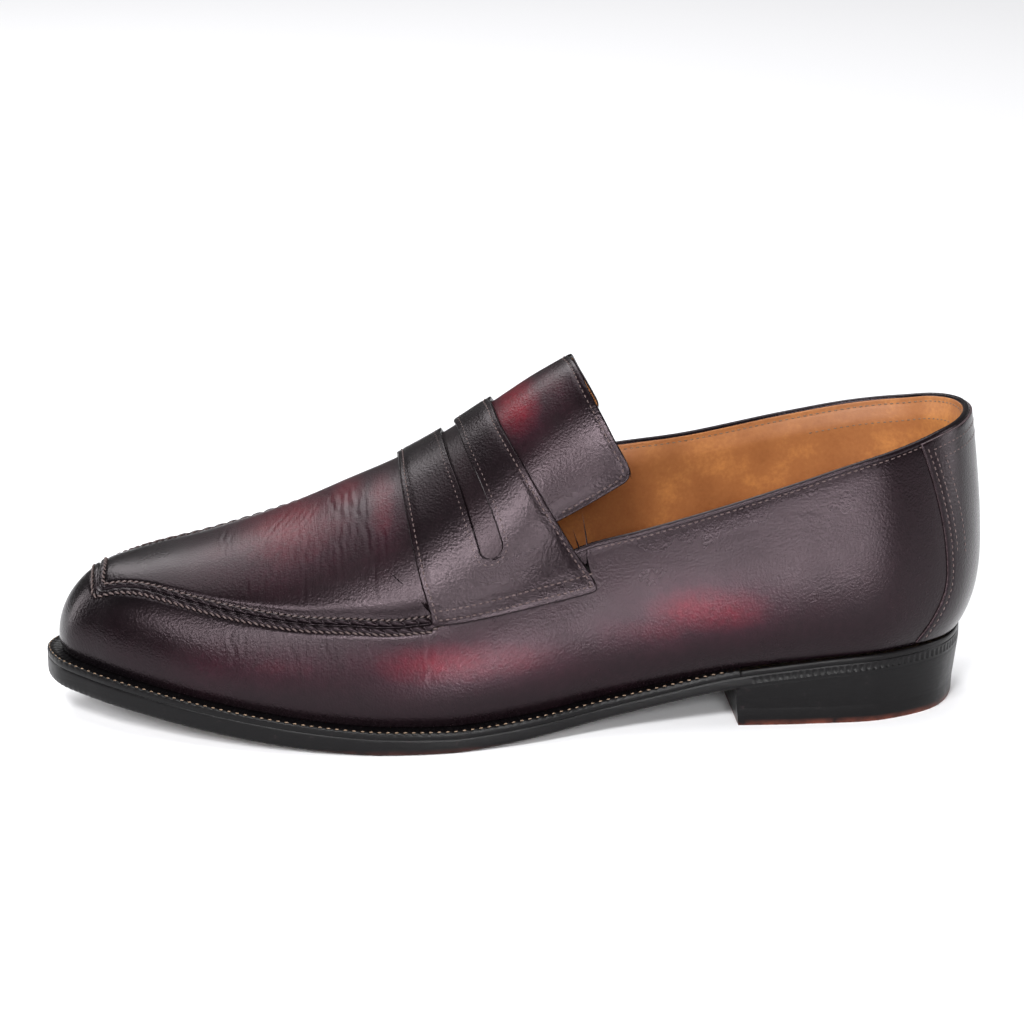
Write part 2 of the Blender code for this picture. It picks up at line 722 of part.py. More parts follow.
def make_strap():
    """The saddle strap over the instep, with the slot that a coin fits."""
    outer = lambda x: np.full(len(x), STRAP_LIFT + STRAP_THICK)
    rows = slanting_rows(strap_front, strap_rear, np.linspace(0, 1, 8))
    outside = crossing(rows, strap_floors(), 9, outer)
    strap = shell("saddle_strap", outside, STRAP_THICK, "strap_calf", around=False)
    cut(strap, make_slot_cutter())
    thread_lift = STRAP_LIFT + STRAP_THICK + CLEAR + THREAD_RADIUS
    border = strap_border(STRAP_THREAD_SHARE, STRAP_THREAD_CLIMB, thread_lift)
    cord("strap_thread", border, THREAD_RADIUS, "thread", closed=True)
    cord("slot_thread", slot_border(SLOT_THREAD_GAP, thread_lift), THREAD_RADIUS, "thread", closed=True)


def strap_border(share, climb_inset, lift):
    """Closed path inside the strap's edges, by a share of its length and a climb above its lower edges."""
    sides = []
    for edge_share in (share, 1 - share):
        row = slanting_rows(strap_front, strap_rear, [edge_share])[0]
        floors = [lambda x, f=f: f(x) + climb_inset for f in strap_floors()]
        sides.append(crossing([row], floors, 13, lambda x: np.full(len(x), lift))[0])
    ends = []
    for corner in (0, -1):
        floor = strap_floors()[0 if corner == 0 else 1]
        start, end = STRAP_FOOT_X
        back = share * (end - start)
        x = np.linspace(start + back, end - back, 10)[1:-1]
        ends.append(layer(station_at(x, corner == -1), floor(x) + climb_inset, lift))
    return np.concatenate([sides[0], ends[1], sides[1][::-1], ends[0][::-1]])


def slot_outline(widen):
    """Climbs from the slot's lateral end over the ridge to its medial end, with the half width at each."""
    climbs, sides, widths = [], [], []
    for medial, end in enumerate((SLOT_END_LATERAL, SLOT_END_MEDIAL)):
        start = end - widen / CLIMB_MM
        radius = along(SLOT_HALF_WIDTH, end) + widen
        rounded = radius * (1 - np.cos(np.radians(SLOT_CORNER_ANGLES)))
        corner = len(rounded)
        depth = np.concatenate([rounded, np.linspace(0, 1, 7)[1:]])
        c = start + depth / CLIMB_MM
        c[corner:] = c[corner - 1] + depth[corner:] * (1 - c[corner - 1])
        half = along(SLOT_HALF_WIDTH, c) + widen
        half[:corner] *= np.sin(np.radians(SLOT_CORNER_ANGLES))
        if medial:
            c, half = c[-2::-1], half[-2::-1]
        climbs.append(c)
        widths.append(half)
        sides.append(np.full(len(c), bool(medial)))
    return np.concatenate(climbs), np.concatenate(widths), np.concatenate(sides)


def slot_edge(widen, lift, direction):
    """One long edge of the slot, front (-1) or rear (1)."""
    climbs, widths, sides = slot_outline(widen)
    x = along(SLOT_MIDDLE, climbs) + direction * widths
    stations = np.where(sides, station_at(x, True), station_at(x, False))
    return layer(stations, climbs, lift)


def slot_border(widen, lift):
    return np.concatenate([slot_edge(widen, lift, -1), slot_edge(widen, lift, 1)[::-1]])


def make_slot_cutter():
    lift = STRAP_LIFT + STRAP_THICK + 3
    grid = np.stack([slot_edge(0, lift, -1), slot_edge(0, lift, 1)])
    return shell("slot_cutter", grid, STRAP_THICK + 6, None, around=False)


def make_tongue():
    """The tongue and its lining, which hinge where the strap's rear edge holds them down."""
    floors = [lambda x: np.full(len(x), TONGUE_FOOT_LATERAL), lambda x: np.full(len(x), TONGUE_FOOT_MEDIAL)]
    front = lambda climbs: along(TONGUE_FRONT, climbs)
    rear = lambda climbs: along(TONGUE_REAR, climbs)
    top = -TONGUE_SINK
    for name, lift, thickness, finish in (
        ("tongue", top, TONGUE_THICK, "burgundy_calf"),
        ("tongue_lining", top - TONGUE_THICK - SHELL_GAP, LINING_THICK, "tan_lining"),
    ):
        rows = slanting_rows(front, rear, np.linspace(0, 1, 7))
        grid = crossing(rows, floors, 8, lambda x: np.full(len(x), lift))
        shell(name, grid, thickness, finish, around=False, pivot=TONGUE_AXIS)


def make_counter_cover():
    """The piece over the back of the quarters, whose front edges curve up to the topline."""
    rows, columns = 8, 25
    edge = []
    away = np.linspace(*COUNTER_STATIONS, 300)
    for fine in (away, STATIONS - away):
        low, high = climb_at(fine, 1), wall_edge(fine, COUNTER_TOP_GAP)
        grid = rib_grid(fine, low, high, rows, 0)
        past = grid[..., 0] - along(COUNTER_EDGE, grid[..., 2])
        edge.append([np.interp(0, -past[:, j], away) for j in range(rows)])
    points = []
    for u in np.linspace(-1, 1, columns):
        reach = np.array(edge[0] if u > 0 else edge[1]) * u
        column = []
        for j, station in enumerate(reach):
            one = np.array([station])
            low, high = climb_at(one, 1), wall_edge(one, COUNTER_TOP_GAP)
            column.append(rib_grid(one, low, high, rows, SHELL_GAP + COUNTER_THICK)[0, j])
        points.append(column)
    shell("heel_counter_cover", np.array(points), COUNTER_THICK, "strap_calf")


def make_topline_binding():
    stations = stations_behind(21, 13)
    stations = np.linspace(stations[0], stations[-1], 62)
    path = layer(stations, wall_edge(stations, 0), -BINDING_RADIUS - 0.1)
    cord("topline_binding", path, BINDING_RADIUS, "strap_calf")
    path = layer(stations, wall_edge(stations, TOPLINE_THREAD_GAP), THREAD_RADIUS + CLEAR)
    cord("topline_thread", path[5:-5], THREAD_RADIUS, "thread")


def make_linings():
    for name, side in (("quarter_lining_lateral", 1), ("quarter_lining_medial", -1)):
        end = station_at(QUARTER_LINING_END_X, side < 0)
        end = end if side > 0 else STATIONS - end
        span = ring_stations(0.06, end) * side
        stations = span if side > 0 else span[::-1]
        top = wall_edge(stations, BINDING_RADIUS + CLEAR)
        lift = lining_lift(feather(stations)[:, 0])
        grid = rib_grid(stations, climb_at(stations, LINING_LOW), top, 8, lift)
        shell(name, grid, LINING_THICK, "tan_lining")
    floors = [lambda x, side=side: climb_at(station_at(x, side), LINING_LOW) for side in (False, True)]
    grid = crossing(straight_rows(toe_feet(VAMP_LINING_END_X, 24)), floors, 9, lining_lift)
    shell("vamp_lining", grid, LINING_THICK, "tan_lining", around=False)
    stations = ring_stations(-GRIP_REACH, GRIP_REACH)
    inner = lining_lift(151) - LINING_THICK - LINING_GAP
    grid = rib_grid(stations, climb_at(stations, GRIP_LOW), wall_edge(stations, GRIP_TOP_GAP), 5, inner)
    shell("heel_grip", grid, GRIP_THICK, "tan_lining")


def make_stiffeners():
    """The boards between upper and lining that hold the heel's and the toe's shape."""
    lift = -UPPER_THICK - SHELL_GAP
    stations = stations_behind(HEEL_STIFFENER_X, HEEL_STIFFENER_X)
    top = wall_edge(stations, HEEL_STIFFENER_TOP_GAP)
    grid = rib_grid(stations, climb_at(stations, LINING_LOW), top, 6, lift)
    shell("heel_stiffener", grid, STIFFENER_THICK, "stiffener_board")
    stations = stations_ahead_of(TOE_PUFF_X)
    grid = rib_grid(stations, climb_at(stations, LINING_LOW), TOE_PUFF_CLIMB, 6, lift)
    shell("toe_puff", grid, STIFFENER_THICK, "stiffener_board")


def main():
    make_outsole()
    make_welt_and_rand()
    make_inner_bottom()
    make_heel()
    make_wall()
    make_apron()
    make_apron_seam()
    make_strap()
    make_tongue()
    make_counter_cover()
    make_topline_binding()
    make_linings()
    make_stiffeners()


if __name__ == "__main__":
    clear_scene()
    SHOE = new_collection("penny_loafer")
    CUTTERS = new_collection("cutters")
    main()
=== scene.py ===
"""A left penny loafer in hand-patinated box calf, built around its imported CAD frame.

Lengths along and across the last are in millimetres and become metres in the meshes. The toe points to -X, the
outer side of the foot is -Y and the ground is Z = 0.
"""

import math
from functools import lru_cache
from types import SimpleNamespace

import bmesh
import bpy
import numpy as np
from bpy.props import FloatProperty, FloatVectorProperty, PointerProperty
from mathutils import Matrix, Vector

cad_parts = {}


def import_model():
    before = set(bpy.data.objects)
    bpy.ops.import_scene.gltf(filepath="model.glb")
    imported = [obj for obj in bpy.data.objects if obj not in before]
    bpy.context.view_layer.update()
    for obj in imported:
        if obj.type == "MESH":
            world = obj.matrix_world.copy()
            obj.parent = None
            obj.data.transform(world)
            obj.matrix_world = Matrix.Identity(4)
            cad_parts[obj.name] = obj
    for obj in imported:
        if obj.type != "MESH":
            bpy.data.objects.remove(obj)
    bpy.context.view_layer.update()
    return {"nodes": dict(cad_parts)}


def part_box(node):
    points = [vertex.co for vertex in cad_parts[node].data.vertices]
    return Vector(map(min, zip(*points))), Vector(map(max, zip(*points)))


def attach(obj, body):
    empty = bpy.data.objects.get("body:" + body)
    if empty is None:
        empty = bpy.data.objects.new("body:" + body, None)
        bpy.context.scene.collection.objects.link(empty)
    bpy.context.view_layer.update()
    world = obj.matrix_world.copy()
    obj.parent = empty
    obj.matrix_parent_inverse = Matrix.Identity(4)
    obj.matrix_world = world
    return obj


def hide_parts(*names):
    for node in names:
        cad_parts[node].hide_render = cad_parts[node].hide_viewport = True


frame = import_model()

bl_info = {
    "name": "Penny Loafer",
    "version": (1, 0, 0),
    "blender": (4, 5, 0),
    "location": "3D View > Sidebar > Loafer",
    "description": "Lasts, cuts, stitches and finishes a welted penny loafer",
    "category": "Add Mesh",
}

MM = 0.001
HEEL_BREAST_X = 73
HEEL_LEAN = -0.11  # how far the heel's front face leans forward, for each millimetre up
HEEL_LIFTS = 3
WELT_THICK = 2.4

# ---- The last ---------------------------------------------------------------
# A point of the last has a station, which runs round the sole outline from the back of the heel (0) past the tip
# of the toe (13) to the heel again (26), and a climb from the feather line (0) to the ridge of the instep (1).

OUTLINE = [
    (151.5, 0), (143, -22), (122, -34), (96, -36), (61, -35.5), (31, -39), (1, -47), (-29, -51.5), (-55, -50),
    (-85, -43.5), (-113, -32.5), (-136, -19), (-148, -7), (-151, 4), (-147.5, 15), (-133, 27), (-108, 39),
    (-80, 46.5), (-55, 49), (-30, 46), (0, 36), (31, 28.5), (61, 29.5), (96, 34), (122, 32), (143, 21),
]
STATIONS = len(OUTLINE)
TOE_STATION = STATIONS // 2

# Curves along the shoe, as (x, value) knots.
SOLE_BOTTOM = [(-151, 12), (-130, 9.5), (-100, 5.3), (-70, 1.8), (-50, 0.25), (-25, -0.2), (10, 3), (40, 7.6),
               (73, 13.3), (110, 17), (151, 18.5)]
EDGE_THICKNESS = [(-151, 9), (-60, 8.2), (0, 7), (50, 6.2), (73, 6.4), (151, 6.8)]
WELT_MARGIN = [(-151, 5), (-60, 5), (0, 4.5), (40, 3.5), (75, 2), (110, 1.2), (151, 1)]
RIDGE = [(-151, 41), (-134, 48), (-118, 51.5), (-100, 55), (-83, 59.7), (-67, 65), (-50, 72.2), (-34, 79.5),
         (-21, 87), (-5, 98), (8, 107), (21, 114.8), (40, 127), (60, 138), (100, 150), (151, 156)]
SPINE_X = [(-147, -121), (-130, -114), (-105, -100), (-80, -79), (-40, -40), (0, 0), (40, 40), (80, 78),
           (105, 95), (130, 104), (151, 108)]
SPINE_Y = [(-151, 5), (-130, 6.5), (-110, 9), (-80, 12), (-50, 13), (-20, 11), (0, 9), (20, 8), (40, 6),
           (80, 2), (151, 0)]
FULLNESS = [(-151, 3.4), (-125, 2.95), (-100, 2.4), (-50, 2.2), (0, 2.1), (40, 2.3), (80, 3), (151, 3.4)]
BULGE = [(-151, 1), (-60, 1.5), (0, 3), (60, 5.5), (110, 5.5), (151, 6)]
BULGE_HEIGHT = [(-151, 0.25), (0, 0.2), (60, 0.17), (151, 0.2)]

TOPLINE_LATERAL = [(-27, 41.6), (0, 53), (20, 62.5), (40, 67.3), (60, 72.9), (92, 83.4), (112, 89.8),
                   (128, 94), (138, 96.6), (151, 98.6)]
TOPLINE_MEDIAL = [(-27, 66.5), (0, 73), (20, 78.5), (40, 81), (60, 82.3), (77, 84.3), (112, 89.8),
                  (128, 92.7), (138, 94.6), (151, 98.6)]
APRON_TOE_X = -133
APRON_LATERAL = [(-140, -5), (-122, -12.5), (-109, -19.4), (-96, -25.6), (-84, -30.6), (-68, -36.2),
                 (-52, -40.1), (-37, -42.5), (-27, -43)]
APRON_MEDIAL = [(-140, 15.5), (-116, 18.5), (-100, 22), (-84, 25), (-67, 27.5), (-55, 29.5), (-45, 32),
                (-35, 34.5), (-27, 36.5)]
APRON_CORNER = 2.2
SEAM_END_X = -27
SEAM_HIDDEN_X = -21  # the seam's ends, under the strap

# The strap's edges as (climb, x), the climb of its lower edges, and its slot.
STRAP_FRONT = [(0.2, -26), (0.27, -26.8), (0.41, -30.2), (0.53, -32.1), (0.68, -33.5), (0.83, -34.2), (1, -34)]
STRAP_REAR = [(0.15, 27.6), (0.205, 26.4), (0.31, 19), (0.417, 12.3), (0.55, 5.8), (0.77, -1.3), (1, -4)]
STRAP_FOOT_X = (-26.8, 26.4)
STRAP_FOOT = ((0.268, 0.203), (0.33, 0.25))
SLOT_MIDDLE = [(0.3, -5), (0.4, -7.1), (0.5, -9.7), (0.64, -13), (0.75, -15.3), (1, -17.7)]
SLOT_HALF_WIDTH = [(0.3, 3.7), (0.5, 3.2), (0.7, 2.6), (1, 2.3)]
SLOT_ENDS = (0.385, 0.46)
CLIMB_MM = 110  # millimetres along the surface for each whole climb, on the sides of the instep

# The tongue's front and rear edges as (climb, x), and the climb of its two lower edges.
TONGUE_FRONT = [(0.35, 10), (0.41, 8), (0.55, 3), (0.77, -3.5), (1, -5.5)]
TONGUE_REAR = [(0.35, 39.6), (0.395, 38.2), (0.52, 32.4), (0.695, 26), (1, 20.5)]
TONGUE_FOOT = (0.395, 0.5)

# The heel counter cover's front edge, as (z, x).
COUNTER_EDGE = [(20, 128), (25, 130.6), (34, 136), (43, 139.6), (57, 139.5), (67, 137.7), (77, 135), (86, 132),
                (97, 127.5)]


def along(knots, at):
    """Value at a place of the smooth curve through knots, which are (place, value) pairs in rising order."""
    place, value = np.array(knots, float).T
    slope = np.gradient(value, place)
    at = np.asarray(at, float)
    i = np.clip(np.searchsorted(place, at, side="right") - 1, 0, len(place) - 2)
    width = place[i + 1] - place[i]
    t = np.clip((at - place[i]) / width, 0, 1)
    ease = t * t * (3 - 2 * t)
    sway = width * t * (1 - t) * (slope[i] * (1 - t) - slope[i + 1] * t)
    return value[i] + (value[i + 1] - value[i]) * ease + sway


def outline(station):
    """Plan points of the outsole's edge at the stations, on a smooth closed curve through OUTLINE."""
    points = np.array(OUTLINE, float)
    station = np.asarray(station, float) % STATIONS
    i = np.floor(station).astype(int)
    t = (station - i)[:, None]
    a, b, c, d = (points[(i + k) % STATIONS] for k in (-1, 0, 1, 2))

    def tangent(p, q, r):
        before = np.linalg.norm(q - p, axis=1, keepdims=True)
        after = np.linalg.norm(r - q, axis=1, keepdims=True)
        return ((q - p) / before * after + (r - q) / after * before) / (before + after)

    chord = np.linalg.norm(c - b, axis=1, keepdims=True)
    ease = t * t * (3 - 2 * t)
    sway = t * (1 - t) * chord * (tangent(a, b, c) * (1 - t) - tangent(b, c, d) * t)
    return b + (c - b) * ease + sway


def edge_normal(station):
    """Outward unit normals of the outline, in plan."""
    step = 0.02
    d = outline(np.asarray(station) + step) - outline(np.asarray(station) - step)
    n = np.stack([-d[:, 1], d[:, 0]], 1)
    return n / np.linalg.norm(n, axis=1, keepdims=True)


def inset(station, by):
    """Plan points a distance inside the outsole's edge."""
    by = np.broadcast_to(by, np.shape(station))
    return outline(station) - edge_normal(station) * by[:, None]


def margin(station):
    """How far the feather line lies inside the outsole's edge."""
    return along(WELT_MARGIN, outline(station)[:, 0])


def feather(station):
    """Plan points of the feather line, where the upper meets the welt."""
    return inset(station, margin(station))


def sole_bottom(x):
    """Height of the outsole's lower face."""
    return np.maximum(along(SOLE_BOTTOM, x), 0)


def sole_top(x):
    """Height of the outsole's upper face, on which the upper stands."""
    return sole_bottom(x) + along(EDGE_THICKNESS, x)


def last(station, climb):
    """Points of the last for stations and climbs that broadcast together."""
    station, climb = np.broadcast_arrays(np.asarray(station, float), np.asarray(climb, float))
    shape = station.shape
    foot = feather(station.ravel()).reshape(shape + (2,))
    angle = np.clip(climb, 0, 1) * math.pi / 2
    spine_x = along(SPINE_X, foot[..., 0])
    reach = np.stack([spine_x, along(SPINE_Y, spine_x)], -1) - foot
    unit = reach / np.linalg.norm(reach, axis=-1, keepdims=True)
    power = 2 / along(FULLNESS, foot[..., 0])
    inward = 1 - np.cos(angle) ** power
    rise = np.sin(angle) ** power
    crest = rise / along(BULGE_HEIGHT, foot[..., 0])
    swell = along(BULGE, foot[..., 0]) * crest * np.exp(1 - crest)
    plan = foot + reach * inward[..., None] - unit * swell[..., None]
    base = sole_top(plan[..., 0])
    height = base + (along(RIDGE, plan[..., 0]) - base) * rise
    return np.concatenate([plan, height[..., None]], -1)


def last_normal(station, climb):
    """Outward unit normals of the last."""
    ds, dc = 0.01, 0.004
    climb = np.clip(np.asarray(climb, float), 0.012, 0.985)
    across = last(station + ds, climb) - last(station - ds, climb)
    upward = last(station, climb + dc) - last(station, climb - dc)
    n = np.cross(upward, across)
    return n / np.linalg.norm(n, axis=-1, keepdims=True)


def layer(station, climb, lift):
    """Points a distance outside the last (inside where lift is negative)."""
    station, climb, lift = np.broadcast_arrays(station, climb, lift)
    return last(station, climb) + last_normal(station, climb) * lift[..., None]


@lru_cache
def side_feet(medial):
    """Foot x and station along one side of the shoe, from the toe."""
    fine = np.linspace(TOE_STATION, STATIONS if medial else 0, 1400)
    return np.maximum.accumulate(feather(fine)[:, 0]), fine


def station_at(x, medial):
    """Station on one side of the shoe that has this foot x."""
    return np.interp(x, *side_feet(bool(medial)))


def climb_at(station, height):
    """Climb of a point low on the last, a height above the feather line."""
    x = feather(station)[:, 0]
    share = height / (along(RIDGE, x) - sole_top(x))
    return np.arcsin(share ** (along(FULLNESS, x) / 2)) * 2 / math.pi


def outside_apron(x, y, gap):
    """Positive outside a line, with rounded toe corners, gap millimetres outside the apron's seam."""
    beyond = np.stack([APRON_TOE_X - x, along(APRON_LATERAL, x) - y, y - along(APRON_MEDIAL, x)], -1)
    beyond = beyond - gap[..., None]
    pushed = np.maximum(beyond + APRON_CORNER, 0)
    return np.where(pushed.max(-1) > 0, np.linalg.norm(pushed, axis=-1) - APRON_CORNER, beyond.max(-1))


def first_zero(places, values):
    """Where values, sampled at places along the last axis, first fall to zero."""
    k = np.maximum(np.argmax(values <= 0, axis=-1), 1)
    row = np.arange(len(values))
    before, after = values[row, k - 1], values[row, k]
    share = np.clip(before / (before - after + 1e-12), 0, 1)
    return places[k - 1] + (places[k] - places[k - 1]) * share


def wall_edge(station, gap=0.0):
    """Climb of the wall's upper edge: gap millimetres outside the apron's seam line, or below the topline."""
    station = np.asarray(station, float) % STATIONS
    gap = np.broadcast_to(gap, station.shape)[:, None]
    climbs = np.linspace(0.02, 0.95, 240)
    p = last(station[:, None], climbs)
    x, y, z = p[..., 0], p[..., 1], p[..., 2]
    seam = first_zero(climbs, outside_apron(x, y, gap))
    medial = (station > TOE_STATION)[:, None]
    top = np.where(medial, along(TOPLINE_MEDIAL, x), along(TOPLINE_LATERAL, x))
    line = first_zero(climbs, top - gap - z)
    return np.where(feather(station)[:, 0] < SEAM_END_X, seam, line)


def seam_gap(station, gap):
    """Plan distance from the apron's seam that is gap millimetres along the sloping surface."""
    slope = last_normal(station, wall_edge(station))[:, 2]
    return gap * np.where(feather(station)[:, 0] < SEAM_END_X, np.clip(slope, 0.4, 1), 1)


def crossing(rows, floors, side_columns, lift):
    """Stations, climbs and lifts of a piece that crosses the ridge, in rows from toe to heel.

    Each row is a function that gives the foot x for climbs. floors are two functions, for the lateral and the
    medial side, that give the piece's lowest climb for a foot x. lift is a function of the foot x.
    """
    grid = []
    for row in rows:
        halves = []
        for medial, floor in enumerate(floors):
            low = np.array([1.0])
            for _ in range(5):
                low = floor(row(low))
            climbs = np.linspace(low[0], 1, side_columns)
            x = row(climbs)
            halves.append(np.stack([station_at(x, medial), climbs, lift(x)], -1))
        grid.append(np.concatenate([halves[0], halves[1][-2::-1]]))
    return np.array(grid)


def straight_rows(x_values):
    """Rows straight across the last, each at one foot x."""
    return [lambda climbs, x=x: np.full(len(climbs), x) for x in x_values]


def slanting_rows(front, rear, shares):
    """Rows between a front and a rear edge, both functions that give the foot x for climbs."""
    return [lambda climbs, s=s: front(climbs) * (1 - s) + rear(climbs) * s for s in shares]


def lining_lift(x):
    """The lining lies deeper at the toe and the heel, where a stiffener is between it and the upper."""
    return -np.interp(x, (-112, -95, 62, 80), (3.5, 2.2, 2.2, 3.5))


# The middle of the shoe in the last's millimetres, from where the frame's outsole lies.
SOLE_LOW = outline(np.linspace(0, STATIONS, 2000)).min(0)
FRAME_SHIFT = np.append(SOLE_LOW - np.array(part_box("outsole")[0])[:2] / MM, 0)


# ---- Finish -----------------------------------------------------------------


def add(tree, kind, inputs, out=0, stops=(), **settings):
    """Adds a shader node with its settings and gives one of its outputs.

    inputs maps the names or numbers of its inputs to values, or to outputs to link from. stops are the positions
    and colours of a colour ramp.
    """
    node = tree.nodes.new("ShaderNode" + kind)
    for name, value in settings.items():
        setattr(node, name, value)
    for name, value in inputs.items():
        if isinstance(value, bpy.types.NodeSocket):
            tree.links.new(value, node.inputs[name])
        else:
            node.inputs[name].default_value = value
    if stops:
        while len(node.color_ramp.elements) < len(stops):
            node.color_ramp.elements.new(0.5)
        for element, (position, colour) in zip(node.color_ramp.elements, stops):
            element.position = position
            element.color = colour
    return node.outputs[out]


def new_material(name):
    """A new material with its node tree, its shader and the place of a point on its object."""
    material = bpy.data.materials.new(name)
    material.use_nodes = True
    tree = material.node_tree
    return material, tree, tree.nodes["Principled BSDF"], add(tree, "TexCoord", {}, "Object")


def size(mm):
    """Scale of a texture whose features are about this many millimetres across."""
    return 1 / (mm * MM)


def box_calf(name, settings):
    """Box calf: chrome-tanned, boarded and hand-rubbed with coloured wax.

    The eye gets a near-black burgundy with cloudy oxblood patches where the dye was rubbed back, darker edges, a
    fine pebbled grain that breaks up the highlights, and fine flex lines over the joints of the toes. The colour
    attribute patina holds how red (R), how dark (G) and how flexed (B) each place is. The dark channel is burnish
    in
    part and painted shade in part: beside the apron seam, just above the welt and between the seam's puckers. It
    is lowered for a painted highlight along the strap's edges.
    """
    material, tree, shader, place = new_material(name)
    patina = add(tree, "Attribute", {}, attribute_name="patina")
    parts = add(tree, "SeparateColor", {"Color": patina}).node.outputs
    # Colour: clouds of dye within the rubbed patches, darker places from the dark channel (burnish and painted
    # shade), and a fine mottle.
    cloud = add(tree, "TexNoise", {"Vector": place, "Scale": size(26), "Detail": 4, "Roughness": 0.6})
    cloud = add(tree, "Math", {0: cloud, 1: 0.5}, operation="SUBTRACT")
    red = add(tree, "Math", {0: cloud, 1: 0.7, 2: parts[0]}, operation="MULTIPLY_ADD", use_clamp=True)
    within = add(tree, "Math", {0: parts[0], 1: 1.2, 2: 0.2}, operation="MULTIPLY_ADD", use_clamp=True)
    red = add(tree, "Math", {0: red, 1: within}, operation="MULTIPLY", use_clamp=True)
    colour = add(tree, "ValToRGB", {"Fac": red}, stops=[
        (0.0, settings.calf_dark), (0.25, settings.calf_mid), (0.6, settings.calf_red),
        (1.0, settings.calf_bright)])
    dark = add(tree, "TexNoise", {"Vector": place, "Scale": size(9), "Detail": 3, "Roughness": 0.55})
    dark = add(tree, "Math", {0: dark, 1: 0.5, 2: -0.2}, operation="MULTIPLY_ADD")
    dark = add(tree, "Math", {0: parts[1], 1: dark}, operation="ADD", use_clamp=True)
    colour = add(tree, "Mix", {0: dark, 6: colour, 7: settings.calf_black}, 2, data_type="RGBA")
    mottle = add(tree, "TexNoise", {"Vector": place, "Scale": size(2.2), "Detail": 5, "Roughness": 0.65})
    mottle = add(tree, "ValToRGB", {"Fac": mottle}, stops=[(0.3, srgb("#c4c4c4")), (0.7, srgb("#ffffff"))])
    colour = add(tree, "Mix", {0: 1.0, 6: colour, 7: mottle}, 2, data_type="RGBA", blend_type="MULTIPLY")
    tree.links.new(colour, shader.inputs["Base Color"])
    # Relief: the pebbled grain, a softer unevenness, and wrinkles that run across the foot where it flexes.
    grain = add(tree, "TexVoronoi", {"Vector": place, "Scale": size(0.75), "Smoothness": 0.6, "Randomness": 1.0},
                feature="SMOOTH_F1")
    normal = add(tree, "Bump", {"Height": grain, "Distance": 0.05 * MM, "Strength": 1.0})
    uneven = add(tree, "TexNoise", {"Vector": place, "Scale": size(1), "Detail": 4, "Roughness": 0.7})
    normal = add(tree, "Bump", {"Height": uneven, "Distance": 0.07 * MM, "Strength": 1.0, "Normal": normal})
    stretched = add(tree, "Mapping", {"Vector": place, "Scale": (1.0, 0.1, 0.08)})
    lines = add(tree, "TexNoise", {"Vector": stretched, "Scale": size(2.6), "Detail": 4, "Roughness": 0.7})
    lines = add(tree, "Math", {0: lines, 1: 0.5}, operation="SUBTRACT")
    lines = add(tree, "Math", {0: lines}, operation="ABSOLUTE")
    lines = add(tree, "Math", {0: lines, 1: 0.5}, operation="POWER")
    lines = add(tree, "Math", {0: lines, 1: parts[2]}, operation="MULTIPLY")
    normal = add(tree, "Bump", {"Height": lines, "Distance": 0.14 * MM, "Strength": 1.0, "Normal": normal})
    tree.links.new(normal, shader.inputs["Normal"])
    # Sheen: cloudy wax, duller in the wrinkles and glossier where the dark channel is high (burnish and painted
    # shade).
    gloss = add(tree, "TexNoise", {"Vector": place, "Scale": size(14), "Detail": 4, "Roughness": 0.6})
    gloss = add(tree, "Math", {0: gloss, 1: 0.16, 2: settings.calf_roughness - 0.06}, operation="MULTIPLY_ADD")
    gloss = add(tree, "Math", {0: parts[2], 1: 0.05, 2: gloss}, operation="MULTIPLY_ADD")
    gloss = add(tree, "Math", {0: parts[1], 1: -0.08, 2: gloss}, operation="MULTIPLY_ADD", use_clamp=True)
    tree.links.new(gloss, shader.inputs["Roughness"])
    shader.inputs["Specular Tint"].default_value = settings.calf_wax
    shader.inputs["Specular IOR Level"].default_value = 0.25
    return material


def lining_leather(name, settings):
    """Vegetable-tanned calf lining, dyed cognac and unwaxed: warm, even and matt, with faint rubbed clouds."""
    material, tree, shader, place = new_material(name)
    fine = add(tree, "TexNoise", {"Vector": place, "Scale": size(1.2), "Detail": 3, "Roughness": 0.55})
    fine = add(tree, "Math", {0: fine, 1: 0.2}, operation="MULTIPLY")
    tone = add(tree, "TexNoise", {"Vector": place, "Scale": size(30), "Detail": 5, "Roughness": 0.6})
    tone = add(tree, "Math", {0: tone, 1: 0.8, 2: fine}, operation="MULTIPLY_ADD")
    colour = add(tree, "ValToRGB", {"Fac": tone}, stops=[
        (0.3, settings.lining_shade), (0.52, settings.lining), (0.72, settings.lining_light)])
    tree.links.new(colour, shader.inputs["Base Color"])
    nap = add(tree, "TexNoise", {"Vector": place, "Scale": size(0.7), "Detail": 4, "Roughness": 0.7})
    normal = add(tree, "Bump", {"Height": nap, "Distance": 0.06 * MM, "Strength": 1.0})
    tree.links.new(normal, shader.inputs["Normal"])
    shader.inputs["Roughness"].default_value = 0.52
    return material


